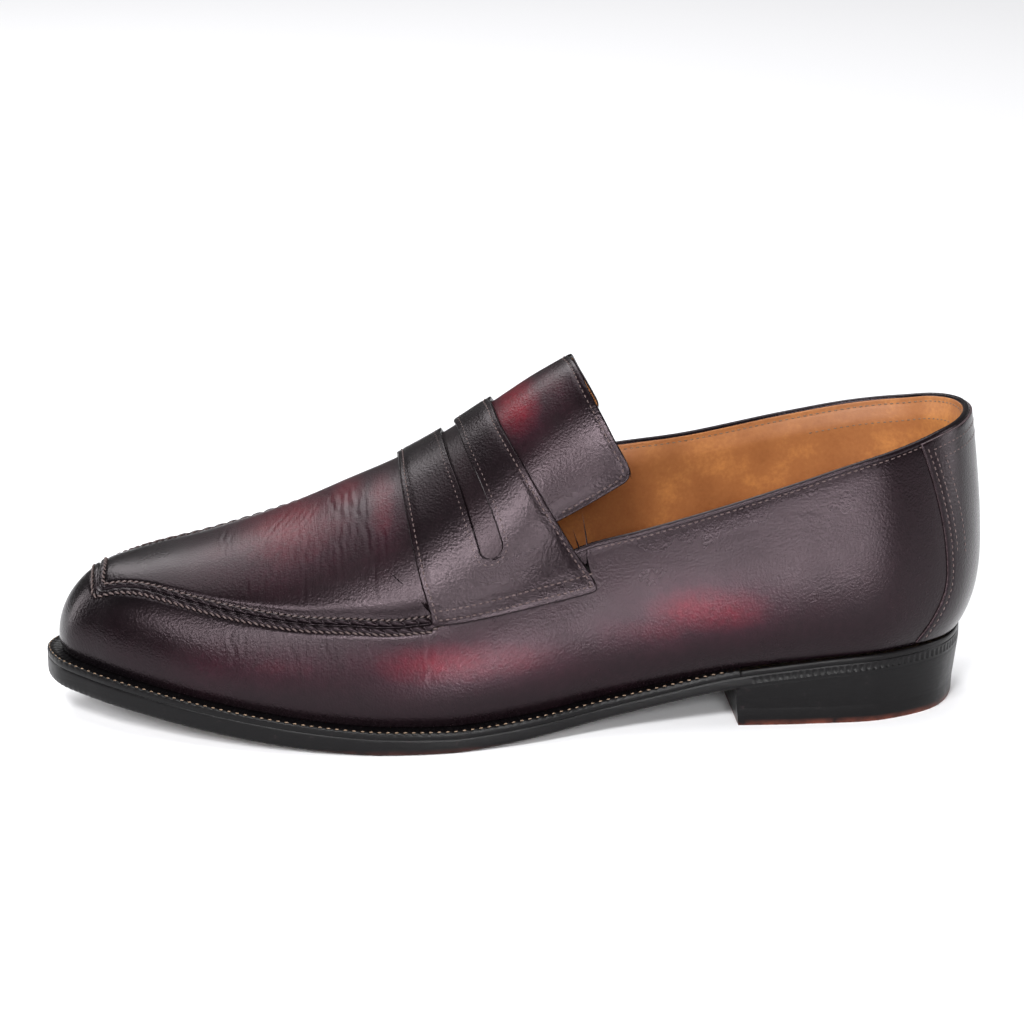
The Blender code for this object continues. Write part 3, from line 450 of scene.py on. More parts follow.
def inked_edge(name, settings, worn):
    """Sole leather whose cut edge is inked black and burnished with hot wax: satin, with faint fibre lines.

    worn is how much red-brown leather shows where the ink has rubbed off near the ground.
    """
    material, tree, shader, place = new_material(name)
    scuffs = add(tree, "TexNoise", {"Vector": place, "Scale": size(4), "Detail": 5, "Roughness": 0.75})
    colour = add(tree, "ValToRGB", {"Fac": scuffs}, stops=[
        (0.3, settings.edge_black), (0.62, settings.edge_black), (0.8, settings.edge_scuff)])
    height = add(tree, "SeparateXYZ", {"Vector": place}, "Z")
    low = add(tree, "MapRange", {
        "Value": height, "From Min": 0.0, "From Max": 2.2 * MM, "To Min": worn, "To Max": 0.0})
    rubbed = add(tree, "TexNoise", {"Vector": place, "Scale": size(6), "Detail": 4, "Roughness": 0.7})
    rubbed = add(tree, "Math", {0: rubbed, 1: 3.0, 2: -0.9}, operation="MULTIPLY_ADD", use_clamp=True)
    low = add(tree, "Math", {0: low, 1: rubbed}, operation="MULTIPLY", use_clamp=True)
    colour = add(tree, "Mix", {0: low, 6: colour, 7: settings.worn_leather}, 2, data_type="RGBA")
    tree.links.new(colour, shader.inputs["Base Color"])
    fibres = add(tree, "Mapping", {"Vector": place, "Scale": (0.12, 0.12, 1.0)})
    fibres = add(tree, "TexNoise", {"Vector": fibres, "Scale": size(1.1), "Detail": 4, "Roughness": 0.6})
    fibres = add(tree, "Math", {0: fibres, 1: 0.6}, operation="MULTIPLY")
    relief = add(tree, "Math", {0: scuffs, 1: 0.4, 2: fibres}, operation="MULTIPLY_ADD")
    normal = add(tree, "Bump", {"Height": relief, "Distance": 0.12 * MM, "Strength": 1.0})
    tree.links.new(normal, shader.inputs["Normal"])
    gloss = add(tree, "Math", {0: scuffs, 1: 0.3, 2: 0.22}, operation="MULTIPLY_ADD")
    tree.links.new(gloss, shader.inputs["Roughness"])
    shader.inputs["Specular IOR Level"].default_value = 0.16
    return material


def sole_grain(name, settings):
    """The walked-on face of the outsole: oak-bark-tanned leather, stained dark and rubbed pale under the ball."""
    material, tree, shader, place = new_material(name)
    wear = add(tree, "Mapping", {"Vector": place, "Location": (0.6, 0.0, 0.0), "Scale": (12.0, 17.0, 17.0)})
    wear = add(tree, "TexGradient", {"Vector": wear}, "Fac", gradient_type="SPHERICAL")
    wear = add(tree, "Math", {0: wear, 1: 0.6}, operation="MULTIPLY")
    tone = add(tree, "TexNoise", {"Vector": place, "Scale": size(12), "Detail": 6, "Roughness": 0.7})
    tone = add(tree, "Math", {0: tone, 1: 0.7, 2: wear}, operation="MULTIPLY_ADD")
    colour = add(tree, "ValToRGB", {"Fac": tone}, stops=[
        (0.28, settings.edge_black), (0.5, settings.sole_stain), (0.85, settings.sole_worn)])
    tree.links.new(colour, shader.inputs["Base Color"])
    scratches = add(tree, "Mapping", {"Vector": place, "Scale": (0.15, 1.0, 1.0)})
    scratches = add(tree, "TexNoise", {"Vector": scratches, "Scale": size(1.5), "Detail": 6, "Roughness": 0.75})
    normal = add(tree, "Bump", {"Height": scratches, "Distance": 0.2 * MM, "Strength": 1.0})
    tree.links.new(normal, shader.inputs["Normal"])
    shader.inputs["Roughness"].default_value = 0.55
    return material


def waxed_thread(name, colour):
    """Waxed linen thread: a dull round cord whose twist shows as fine slanting ridges about 0.6 mm apart."""
    material, tree, shader, place = new_material(name)
    grime = add(tree, "TexNoise", {"Vector": place, "Scale": size(1.5), "Detail": 3, "Roughness": 0.55})
    grime = add(tree, "Math", {0: grime, 1: 0.6}, operation="MULTIPLY")
    colour = add(tree, "Mix", {0: grime, 6: colour, 7: srgb("#271e1e")}, 2, data_type="RGBA")
    tree.links.new(colour, shader.inputs["Base Color"])
    twist = add(tree, "TexWave", {"Vector": place, "Scale": size(0.6) / math.tau, "Distortion": 1.0}, "Fac",
                bands_direction="DIAGONAL")
    normal = add(tree, "Bump", {"Height": twist, "Distance": 0.05 * MM, "Strength": 1.0})
    tree.links.new(normal, shader.inputs["Normal"])
    shader.inputs["Roughness"].default_value = 0.5
    return material


def plain_stock(name, low, high, across, roughness, metallic=0.0, relief=0.1):
    """A simple stock: two tones in patches, with a little relief; across and relief are in millimetres."""
    material, tree, shader, place = new_material(name)
    patches = add(tree, "TexNoise", {"Vector": place, "Scale": size(across), "Detail": 5, "Roughness": 0.7})
    colour = add(tree, "ValToRGB", {"Fac": patches}, stops=[(0.35, srgb(low)), (0.65, srgb(high))])
    tree.links.new(colour, shader.inputs["Base Color"])
    normal = add(tree, "Bump", {"Height": patches, "Distance": relief * MM, "Strength": 1.0})
    tree.links.new(normal, shader.inputs["Normal"])
    shader.inputs["Roughness"].default_value = roughness
    shader.inputs["Metallic"].default_value = metallic
    return material


def finish(name):
    """The material of a name, made the first time that a piece asks for it."""
    found = bpy.data.materials.get(name)
    if found:
        return found
    settings = bpy.context.scene.loafer_colours
    makers = {
        "burgundy_box_calf": lambda: box_calf(name, settings),
        "cognac_lining_leather": lambda: lining_leather(name, settings),
        "inked_sole_edge": lambda: inked_edge(name, settings, 0.35),
        "inked_heel_edge": lambda: inked_edge(name, settings, 1.0),
        "oak_bark_sole_leather": lambda: sole_grain(name, settings),
        "dark_waxed_thread": lambda: waxed_thread(name, settings.thread_dark),
        "seam_waxed_thread": lambda: waxed_thread(name, settings.thread_seam),
        "pale_waxed_thread": lambda: waxed_thread(name, settings.thread_pale),
        # Insole shoulder leather, shaved and undyed: pale and fibrous.
        "shaved_insole_leather": lambda: plain_stock(name, "#b08a5c", "#c9a878", 3, 0.75),
        # Cork granules pressed with resin: speckled brown grains of about 2 mm.
        "pressed_cork": lambda: plain_stock(name, "#6b4526", "#b98a55", 2, 0.9, 0.0, 0.4),
        # Leather fibres bonded with latex: an even drab board.
        "bonded_leatherboard": lambda: plain_stock(name, "#8a7656", "#a08c68", 1.2, 0.85),
        # Cold-rolled spring steel strip: grey with faint rolling marks.
        "cold_rolled_spring_steel": lambda: plain_stock(name, "#8f9294", "#a9acae", 2, 0.35, 1.0, 0.02),
        # Drawn brass pin, its head rubbed by walking.
        "drawn_brass": lambda: plain_stock(name, "#a8833f", "#c9a45c", 1.5, 0.35, 1.0, 0.02),
        # Raw cut edge of the counter cover, dyed and rubbed: its fibres show paler than the grain.
        "cut_calf_edge": lambda: plain_stock(name, "#1c1416", "#57464a", 1.0, 0.42, 0.0, 0.08),
    }
    return makers[name]()


# ---- Making pieces ----------------------------------------------------------


def world(points):
    """Points of the last's millimetres in the frame's metres."""
    return (np.asarray(points, float).reshape(-1, 3) - FRAME_SHIFT) * MM


def make(name, points, faces, finish_name, body="shoe", replaces=(), tones=None):
    """A smooth piece that rides on a CAD body; tones are its patina, one red, darkening and flex for each point,
    where the darkening is burnish and, on some pieces, painted shade.
    """
    mesh = bpy.data.meshes.new(name)
    mesh.from_pydata(world(points).tolist(), [], faces)
    mesh.update()
    mesh.shade_smooth()
    if tones is not None:
        paint = mesh.color_attributes.new("patina", "FLOAT_COLOR", "POINT")
        rgba = np.concatenate([np.asarray(tones, float).reshape(-1, 3), np.ones((len(mesh.vertices), 1))], 1)
        paint.data.foreach_set("color", np.clip(rgba, 0, 1).ravel())
    mesh.materials.append(finish(finish_name))
    piece = bpy.data.objects.new(name, mesh)
    bpy.context.scene.collection.objects.link(piece)
    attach(piece, body)
    if replaces:
        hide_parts(*replaces)
    return piece


def grid_faces(rows, columns, closed_rows=False, closed_columns=False, flip=False, first=0):
    """Quads of a grid of points that are listed row by row."""
    i, j = np.meshgrid(
        np.arange(rows if closed_rows else rows - 1),
        np.arange(columns if closed_columns else columns - 1),
        indexing="ij",
    )
    a = i * columns + j
    b = (i + 1) % rows * columns + j
    c = (i + 1) % rows * columns + (j + 1) % columns
    d = i * columns + (j + 1) % columns
    quads = np.stack([a, d, c, b] if flip else [a, b, c, d], -1).reshape(-1, 4) + first
    return quads.tolist()


def drop_doubled(points, faces, tones=None, distance=0.004):
    """Joins points that fall together, as where a grid narrows, and drops faces left without an area."""
    points = np.asarray(points, float).reshape(-1, 3)
    cells = np.round(points / distance).astype(int)
    _, kept, index = np.unique(cells, axis=0, return_index=True, return_inverse=True)
    index = index.ravel()
    clean = []
    for face in faces:
        corners = list(dict.fromkeys(index[list(face)].tolist()))
        if len(corners) > 2:
            clean.append(corners)
    return points[kept], clean, None if tones is None else np.asarray(tones).reshape(-1, 3)[kept]


def thicken(piece, thickness, bevel=0.35, rim_finish=None):
    """Gives an open leather surface its thickness on the inside and softens its cut edges."""
    if rim_finish:
        piece.data.materials.append(finish(rim_finish))
    solid = piece.modifiers.new("thickness", "SOLIDIFY")
    solid.thickness = thickness * MM
    solid.offset = -1
    solid.material_offset_rim = 1 if rim_finish else 0
    if not bevel:
        return
    round_off = piece.modifiers.new("soft edges", "BEVEL")
    round_off.width = bevel * MM
    round_off.segments = 3
    round_off.limit_method = "ANGLE"
    round_off.angle_limit = math.radians(70)
    round_off.use_clamp_overlap = False


def stitches(name, station, climb, lift, pitch, finish_name, length=0.62, radius=0.24, body="shoe", slant=0.0,
             replaces=(), sink=0.12):
    """A row of separate stitches along a line on the last.

    Each is a short thread that rises from the leather and dives in again; slant turns it, in degrees, on the
    surface. length is its share of the pitch.
    """
    line = layer(station, climb, lift)
    up = last_normal(station, climb)
    stitch_line(name, line, up, pitch, finish_name, length, radius, body, slant, replaces, sink)


def stitch_line(name, line, up, pitch, finish_name, length=0.62, radius=0.24, body="shoe", slant=0.0,
                replaces=(), sink=0.12):
    """A row of stitches along points with the surface's normals."""
    run = np.concatenate([[0], np.cumsum(np.linalg.norm(np.diff(line, axis=0), axis=1))])
    count = max(int(run[-1] // pitch), 1)
    middle = (np.arange(count) + 0.5) * run[-1] / count
    at = lambda values, s: np.stack([np.interp(s, run, values[:, k]) for k in range(3)], -1)
    centre, normal = at(line, middle), at(up, middle)
    normal /= np.linalg.norm(normal, axis=1, keepdims=True)
    ahead = at(line, middle + 0.2) - at(line, middle - 0.2)
    ahead -= normal * (ahead * normal).sum(1, keepdims=True)
    ahead /= np.linalg.norm(ahead, axis=1, keepdims=True)
    side = np.cross(normal, ahead)
    turn = math.radians(slant)
    ahead, side = (ahead * math.cos(turn) + side * math.sin(turn), side * math.cos(turn) - ahead * math.sin(turn))
    reach = np.array([-1, -0.82, -0.4, 0.4, 0.82, 1])
    girth = np.array([0.3, 0.85, 1, 1, 0.85, 0.3])
    rise = np.array([-1.2, -0.1, 0.45, 0.45, -0.1, -1.2])
    sides = 6
    angle = np.arange(sides) / sides * math.tau
    half = length * pitch / 2
    ring = (
        centre[:, None, None] + ahead[:, None, None] * (reach * half)[None, :, None, None]
        + normal[:, None, None] * (rise * radius - sink)[None, :, None, None]
        + side[:, None, None] * (girth[:, None] * np.cos(angle) * radius)[None, :, :, None]
        + normal[:, None, None] * (girth[:, None] * np.sin(angle) * radius)[None, :, :, None]
    )
    faces = []
    for k in range(count):
        first = k * len(reach) * sides
        faces += grid_faces(len(reach), sides, closed_columns=True, first=first)
        faces.append([first + j for j in range(sides)])
        faces.append([first + (len(reach) - 1) * sides + j for j in reversed(range(sides))])
    make(name, ring, faces, finish_name, body, replaces)


# ---- Patina and painted shade -----------------------------------------------

# Where the burgundy was rubbed back: centre and radii in millimetres, and how red.
RED_PATCHES = [
    ((-70, 2, 62), (23, 30, 20), 0.75),  # apron over the toes
    ((-92, -4, 55), (13, 20, 12), 0.4),
    ((-53, 6, 72), (9, 18, 10), 0.75),
    ((-41, -8, 74), (6, 24, 20), 0.6),  # along the strap
    ((2, -2, 103), (9, 20, 11), 1.0),  # tongue behind the strap
    ((16, -2, 108), (13, 16, 9), 0.5),
    ((62, -36, 42), (24, 20, 9), 0.75),  # outer quarter, low
    ((42, -36, 36), (24, 20, 7), 0.5),
    ((-17, -48, 29), (36, 20, 8), 0.7),  # outer wall under the strap
    ((-80, -44, 27), (34, 20, 7), 0.5),  # outer wall beside the toes
    ((-138, -20, 28), (18, 20, 8), 0.22),
    ((64, 34, 42), (26, 20, 10), 0.7),  # the same on the inner side
    ((-12, 40, 30), (36, 20, 10), 0.6),
    ((-72, 42, 28), (34, 20, 8), 0.4),
]


def patina(points, darkening=0.0, flex=0.0):
    """Red, darkening and flex for points of the upper. The darkening is burnish at the toe and the heel, painted
    shade just above the welt that is partly a burnished edge, and what the caller adds.
    """
    points = np.asarray(points, float).reshape(-1, 3)
    red = np.zeros(len(points))
    for centre, radii, strength in RED_PATCHES:
        r = np.linalg.norm((points - centre) / radii, axis=1)
        red = np.maximum(red, strength * np.exp(-0.75 * r ** 2))
    x, z = points[:, 0], points[:, 2]
    dark = np.interp(x, (-146, -128, -105, 118, 140, 156), (0.9, 0.62, 0.0, 0.0, 0.45, 0.8))
    # Painted shade, partly a burnished edge: darker in the lowest few millimetres of the wall, where it meets the
    # welt.
    dark = dark + 0.55 * np.exp(-np.maximum(z - sole_top(x), 0) / 4.0)
    dark = dark + np.broadcast_to(darkening, dark.shape)
    return np.stack([red, dark, np.broadcast_to(flex, dark.shape)], -1)


# ---- Bottom of the shoe -----------------------------------------------------


def ring_plan(half, by):
    """Plan points of a level face's rim: along the lateral side and back along the medial side."""
    both = np.concatenate([half, (STATIONS - half)[::-1]])
    return inset(both, by(both) if callable(by) else by)


def slab(name, half, levels, finish_name, replaces, side_finish=None, breast_x=None, bevel=0.3, tilt=0.0):
    """A flat closed piece of the bottom stock.

    half are the lateral stations of its rim. Each of the levels, from the lowest, is an inset, which may be a
    function of the stations, and a height as a function of x. breast_x is where a straight face ends it, and tilt
    leans that face.
    """
    rings = []
    for by, height in levels:
        plan = ring_plan(half, by)
        if breast_x is not None:
            n = len(half)
            plan[n - 1:n + 1, 0] = breast_x
            z = height(plan[:, 0])
            plan[n - 1:n + 1, 0] += tilt * z[n - 1:n + 1]
        rings.append(np.c_[plan, height(plan[:, 0])])
    points = np.array(rings)
    rows, columns = points.shape[:2]
    sides = grid_faces(rows, columns, closed_columns=True, flip=True)
    caps = []
    for i in range(columns // 2 - 1):
        a, b = i, i + 1
        c, d = columns - 2 - i, columns - 1 - i
        caps.append([a, b, c, d])
        top = (rows - 1) * columns
        caps.append([top + d, top + c, top + b, top + a])
    points, faces, _ = drop_doubled(points, sides + caps)
    piece = make(name, points, faces, finish_name, "shoe", replaces)
    tidy_faces(piece.data)
    if side_finish:
        piece.data.materials.append(finish(side_finish))
        for face in piece.data.polygons:
            if face.normal.z < -0.7:
                face.material_index = 1
    soften = piece.modifiers.new("broken edges", "BEVEL")
    soften.width = bevel * MM
    soften.segments = 3
    soften.limit_method = "ANGLE"
    soften.angle_limit = math.radians(50)
    soften.harden_normals = True


def tidy_faces(mesh):
    """Turns every face of a closed mesh outwards."""
    shape = bmesh.new()
    shape.from_mesh(mesh)
    bmesh.ops.recalc_face_normals(shape, faces=shape.faces)
    shape.to_mesh(mesh)
    shape.free()


def outsole():
    """The leather sole: its edge is wheeled with ticks at the heel and rubbed ragged under the foot."""
    s = sizes("loafer_sole")
    breast = station_at(HEEL_BREAST_X, False)
    half = bunched(0, TOE_STATION, 720, 0, breast, 2.6)
    run = run_length(half)
    ring = np.concatenate([run, run[::-1]])
    plan_x = outline(np.concatenate([half, (STATIONS - half)[::-1]]))[:, 0]
    forward = np.clip((HEEL_BREAST_X - plan_x) / 3, 0, 1)
    ragged = 0.14 * wheel(ring, 2.3) * forward
    ticks = s.tick_depth * wheel(ring, s.tick_pitch, 2.0) * (plan_x > HEEL_BREAST_X + 4)
    top = lambda x: sole_top(x) - WELT_THICK - 0.02
    between = lambda share: lambda x: sole_bottom(x) * (1 - share) + top(x) * share
    levels = [
        (lambda at: 0.05 + 0.75 * forward, sole_bottom),
        (lambda at: 0.05 + (0.15 + ragged) * forward, lambda x: sole_bottom(x) + 0.25),
        (lambda at: 0.0 - 0.1 * forward + ragged, lambda x: sole_bottom(x) + 0.9),
        (-0.1, between(0.3)), (lambda at: ticks - 0.1, between(0.36)), (lambda at: ticks - 0.1, between(0.8)),
        (-0.08, between(0.86)), (-0.02, lambda x: top(x) - 0.15), (0.1, top),
    ]
    slab("outsole_leather", half, levels, "inked_sole_edge", ["outsole"], "oak_bark_sole_leather",
         bevel=s.edge_round)


def wheel(at, pitch, sharpness=1.0):
    """Rounded lobes, from 0 between them to 1, at a pitch along a line."""
    return np.abs(np.sin(np.asarray(at) * math.pi / pitch)) ** sharpness


def run_length(stations):
    """Distance along the outline at each station."""
    steps = np.linalg.norm(np.diff(outline(stations), axis=0), axis=1)
    return np.concatenate([[0], np.cumsum(steps)])


def strip(name, stations, profile, finish_name, replaces):
    """A band round the sole: profile gives its closed section, as (inset, height above the sole's top) arrays."""
    sections = []
    for by, rise in profile:
        plan = inset(stations, by)
        sections.append(np.c_[plan, sole_top(plan[:, 0]) + rise])
    points = np.stack(sections, 1)
    rows, columns = points.shape[:2]
    faces = grid_faces(rows, columns, closed_columns=True)
    faces.append(list(range(columns)))
    faces.append([(rows - 1) * columns + j for j in reversed(range(columns))])
    piece = make(name, points, faces, finish_name, "shoe", replaces)
    tidy_faces(piece.data)


def welt():
    """The strip between upper and sole, notched by a wheel between its stitches."""
    s = sizes("loafer_sole")
    start = station_at(HEEL_BREAST_X - 0.05, False)
    end = station_at(HEEL_BREAST_X - 0.05, True)
    stations = np.linspace(start, end, 1700)
    lobes = wheel(run_length(stations), s.wheel_pitch, 0.7)
    wide = margin(stations)
    zero = np.zeros(len(stations))
    notch = (1 - lobes) * s.wheel_depth
    profile = [
        (wide + 4, zero - WELT_THICK), (zero + 0.1, zero - WELT_THICK), (zero - 0.06, zero - WELT_THICK + 0.15),
        (zero - 0.08, zero - 1.2), (zero - 0.02 + notch * 0.3, zero - 0.5),
        (zero + 0.1 + notch * 0.5, zero - 0.15),
        (zero + 0.45 + notch * 0.3, zero + 0.1 - notch * 0.8), (zero + 0.95, zero + 0.1 - notch),
        (wide * 0.36, zero - 0.25 - notch * 0.8), (wide * 0.5, zero - 0.15 - notch * 0.9),
        (wide * 0.7, zero - 0.1 - notch), (wide * 0.88, zero - 0.1 - notch * 0.7), (wide * 1.0, zero - 0.05),
        (wide + 4, zero - 0.1),
    ]
    strip("stitched_welt", stations, profile, "inked_sole_edge", ["welt"])
    inner = stations[12:-12]
    plan = inset(inner, 0.62)
    line = np.c_[plan, sole_top(plan[:, 0]) + 0.08]
    up = np.tile((0.0, 0.0, 1.0), (len(inner), 1))
    stitch_line("welt_stitches", line, up, s.wheel_pitch, "pale_waxed_thread", 0.5, 0.2, replaces=["welt_thread"])


def heel_rand():
    """The strip that goes on from the welt round the heel seat."""
    end = station_at(HEEL_BREAST_X + 0.05, False)
    start = station_at(HEEL_BREAST_X + 0.05, True) - STATIONS
    stations = np.linspace(start, end, 300)
    zero = np.zeros(len(stations))
    profile = [
        (zero + 9, zero - WELT_THICK + 0.03), (zero + 0.1, zero - WELT_THICK + 0.03),
        (zero - 0.04, zero - WELT_THICK + 0.15), (zero - 0.04, zero - 1.0), (zero + 0.05, zero - 0.6),
        (zero + 0.35, zero - 0.38), (zero + 0.8, zero - 0.5), (zero + 1.3, zero - 1.0), (zero + 9, zero - 1.0),
    ]
    strip("heel_seat_rand", stations, profile, "inked_sole_edge", ["heel_rand"])


def heel():
    """The stack of lifts on a rubber top piece, tapering towards the ground."""
    s = sizes("loafer_sole")
    edge_end = station_at(HEEL_BREAST_X, False)
    half = np.linspace(0, edge_end, 240)

    def cut(share):
        """Inset of the heel's side at a share of its height."""
        return s.heel_taper * (1 - share)

    def rise(share, above=0.0):
        return lambda x: s.top_piece_height + share * (sole_bottom(x) - s.top_piece_height) + above

    for i in range(HEEL_LIFTS):
        low, high = i / HEEL_LIFTS, (i + 1) / HEEL_LIFTS
        levels = [(cut(low), rise(low)), (cut(high), rise(high))]
        number = HEEL_LIFTS - i
        slab(f"heel_lift_leather_{number}", half, levels, "inked_heel_edge", [f"heel_lift_{number}"],
             breast_x=HEEL_BREAST_X, bevel=0.04, tilt=HEEL_LEAN)
    levels = [(cut(-0.35), lambda x: 0 * x), (cut(-0.12), lambda x: 0 * x + 0.8), (cut(0), rise(0))]
    slab("rubber_top_piece", half, levels, "inked_heel_edge", ["heel_top_piece"],
         breast_x=HEEL_BREAST_X, bevel=0.2, tilt=HEEL_LEAN)


# ---- Upper ------------------------------------------------------------------


def ribs(stations, low, high, shares, lift):
    """Points on ribs between two climbs, at shares of the way; lift may vary over both."""
    stations = np.asarray(stations, float)
    low, high = (np.broadcast_to(v, stations.shape)[:, None] for v in (low, high))
    power = along(FULLNESS, feather(stations)[:, 0])[:, None] / 2
    climbs = low + (high - low) * np.asarray(shares) ** power
    return layer(stations[:, None], climbs, lift)


def bunched(start, end, count, middle_start, middle_end, closeness):
    """Values from start to end that lie closer together, by a factor, from middle_start to middle_end."""
    fine = np.linspace(start, end, 4000)
    dense = np.where((fine > middle_start) & (fine < middle_end), closeness, 1.0)
    run = np.cumsum(dense)
    return np.interp(np.linspace(run[0], run[-1], count), run, fine)


# Groups of flex creases: where the first crosses the middle of its part, the slope and bend, the ends across, how
# many there are, how far apart, and their depth and width.
APRON_CREASES = [
    (-79, 0.42, 1, (-33, 14), 8, 1.9, 0.15, 0.62), (-55.5, -0.12, -5, (-37, 24), 6, 1.7, 0.2, 0.6),
    (-92, 0.05, 1, (-14, 12), 2, 2.3, 0.12, 0.6), (-66, 0.1, 1, (-38, -6), 5, 2.2, 0.13, 0.6),
    (-73, -0.2, 2, (4, 28), 5, 2.2, 0.13, 0.6), (-45, -0.1, -3, (-40, -14), 3, 2.0, 0.13, 0.6),
    (-84, 0.0, 0, (-32, -20), 3, 2.1, 0.12, 0.6),
]
WALL_CREASES = [
    (-90, 1.2, 0, (0.42, 0.95), 3, 1.7, 0.09, 0.7), (-71, 1.0, 0, (0.5, 0.95), 3, 1.9, 0.08, 0.7),
    (-60, 0.4, 0, (0.55, 1.0), 4, 2.4, 0.1, 0.7), (-28, 2.2, 0, (0.42, 0.95), 4, 1.8, 0.15, 0.65),
    (-46, 1.0, 0, (0.6, 1.0), 4, 2.1, 0.1, 0.6), (64, 26, 0, (0.72, 0.93), 5, 2.2, 0.12, 0.7),
    (93, 40, 0, (0.72, 0.93), 4, 2.6, 0.14, 0.7),
]


def crease_depth(x, across, groups, reach):
    """Relief of the creases over a surface: troughs between soft ridges that fade at their ends."""
    relief = np.zeros(np.shape(x))
    for first, slope, bend, (start, end), count, apart, depth, width in groups:
        for k in range(count):
            near, far = start + 0.13 * k % 0.3 * (end - start), end - 0.21 * k % 0.3 * (end - start)
            share = (across - (start + end) / 2) / reach
            away = x - (first + k * apart + slope * share * reach + bend * share ** 2)
            away = away + 0.5 * np.sin(share * 11 + k * 2.3) + 0.3 * np.sin(share * 27 + k)
            t = np.clip(np.minimum(across - near, far - across) / (0.3 * (end - start)), 0, 1)
            fade = t * t * (3 - 2 * t)
            trough = np.exp(-(away / width) ** 2)
            ridges = np.exp(-((np.abs(away) - 1.7 * width) / width) ** 2)
            relief += depth * (1 - 0.3 * (k % 2)) * fade * (0.5 * ridges - trough)
    return relief


def vamp_and_quarters():
    """The wall of the shoe: one piece of calf all the way round, creased where the foot bends."""
    s = sizes("loafer_upper")
    flex = (station_at(-112, False), station_at(-28, False))
    lateral = bunched(0, TOE_STATION, 300, flex[1], flex[0], 3)
    flex = (station_at(-112, True), station_at(-28, True))
    medial = bunched(TOE_STATION, STATIONS, 300, flex[0], flex[1], 3)
    stations = np.concatenate([lateral, medial[1:-1]])
    foot_x = feather(stations)[:, 0]
    seam = foot_x < SEAM_END_X
    gap = np.where(seam, seam_gap(stations, 1.6), s.binding_radius)
    high = wall_edge(stations, gap)
    shares = np.concatenate([np.linspace(0, 0.93, 40), (0.955, 0.975, 0.99, 1)])
    level = np.broadcast_to(shares, (len(stations), len(shares)))
    place = ribs(stations, 0, high, shares, np.zeros((1, 1)))
    relief = crease_depth(place[..., 0], level, WALL_CREASES, 1) * s.crease
    roll = np.clip((level - 0.93) / 0.07, 0, 1) ** 2 * np.where(seam, 0.9, 0.3)[:, None]
    points = ribs(stations, 0, high, shares, relief - roll)
    flexed = np.exp(-((place[..., 0] + 68) / 26) ** 2) * np.clip(level * 2.2 - 0.5, 0, 1) * 0.7
    # Darker towards the wall's upper edge: burnished, with painted shade where the wall rolls down into the apron
    # seam; half as strong along the topline.
    darkening = 0.7 * np.exp(-((1 - level) / 0.14) ** 2) * np.where(seam, 1, 0.5)[:, None]
    tones = patina(place, darkening.ravel(), flexed.ravel())
    faces = grid_faces(*level.shape, closed_rows=True, flip=True)
    piece = make("vamp_and_quarters_leather", points, faces, "burgundy_box_calf", "shoe",
                 ["vamp_and_quarters"], tones)
    thicken(piece, s.upper_thickness, 0.3)


def toe_feet(end, count):
    """Foot x of rows that fan round the toe evenly and then run back to end."""
    feet = feather(np.linspace(TOE_STATION, station_at(end, False), count))[:, 0]
    return np.maximum.accumulate(feet)


def apron():
    """The plug on top of the foot, rolled down at its edge and creased over the toes."""
    s = sizes("loafer_upper")
    bend = -32
    under = lambda station: wall_edge(station, seam_gap(station, -1.6))
    floors = [lambda x, side=side: under(station_at(x, side)) for side in (False, True)]
    rear = lambda climbs: along(TONGUE_FRONT, climbs) - 3
    rows = straight_rows(toe_feet(bend, 300))
    rows += slanting_rows(straight_rows([bend])[0], rear, np.linspace(0, 1, 16)[1:])
    grid = crossing(rows, floors, 44, np.zeros_like)
    place = layer(grid[..., 0], grid[..., 1], 0)
    beyond = outside_apron(place[..., 0], place[..., 1], np.zeros(place.shape[:2]))
    edge = np.where(place[..., 0] < SEAM_END_X, -beyond, 99)
    relief = crease_depth(place[..., 0], place[..., 1], APRON_CREASES, 32) * s.crease
    relief *= np.clip((edge - 2) / 5, 0, 1)
    roll = 0.8 * np.clip((3.2 - edge) / 1.6, 0, 1) ** 2
    points = layer(grid[..., 0], grid[..., 1], relief - roll)
    flexed = np.exp(-((place[..., 0] + 66) / 30) ** 2) * np.clip((edge - 2) / 6, 0, 1)
    # Darker towards the seam: burnished, with painted shade where the apron rolls down into it; the toe is
    # burnished darker too.
    darkening = 0.6 * np.exp(-(edge / 5.5) ** 2) + np.interp(place[..., 0], (-128, -104), (0.25, 0))
    tones = patina(place, darkening.ravel(), flexed.ravel())
    points, faces, tones = drop_doubled(points, grid_faces(*place.shape[:2]), tones)
    piece = make("apron_leather", points, faces, "burgundy_box_calf", "shoe", ["apron"], tones)
    thicken(piece, s.upper_thickness, 0.3)


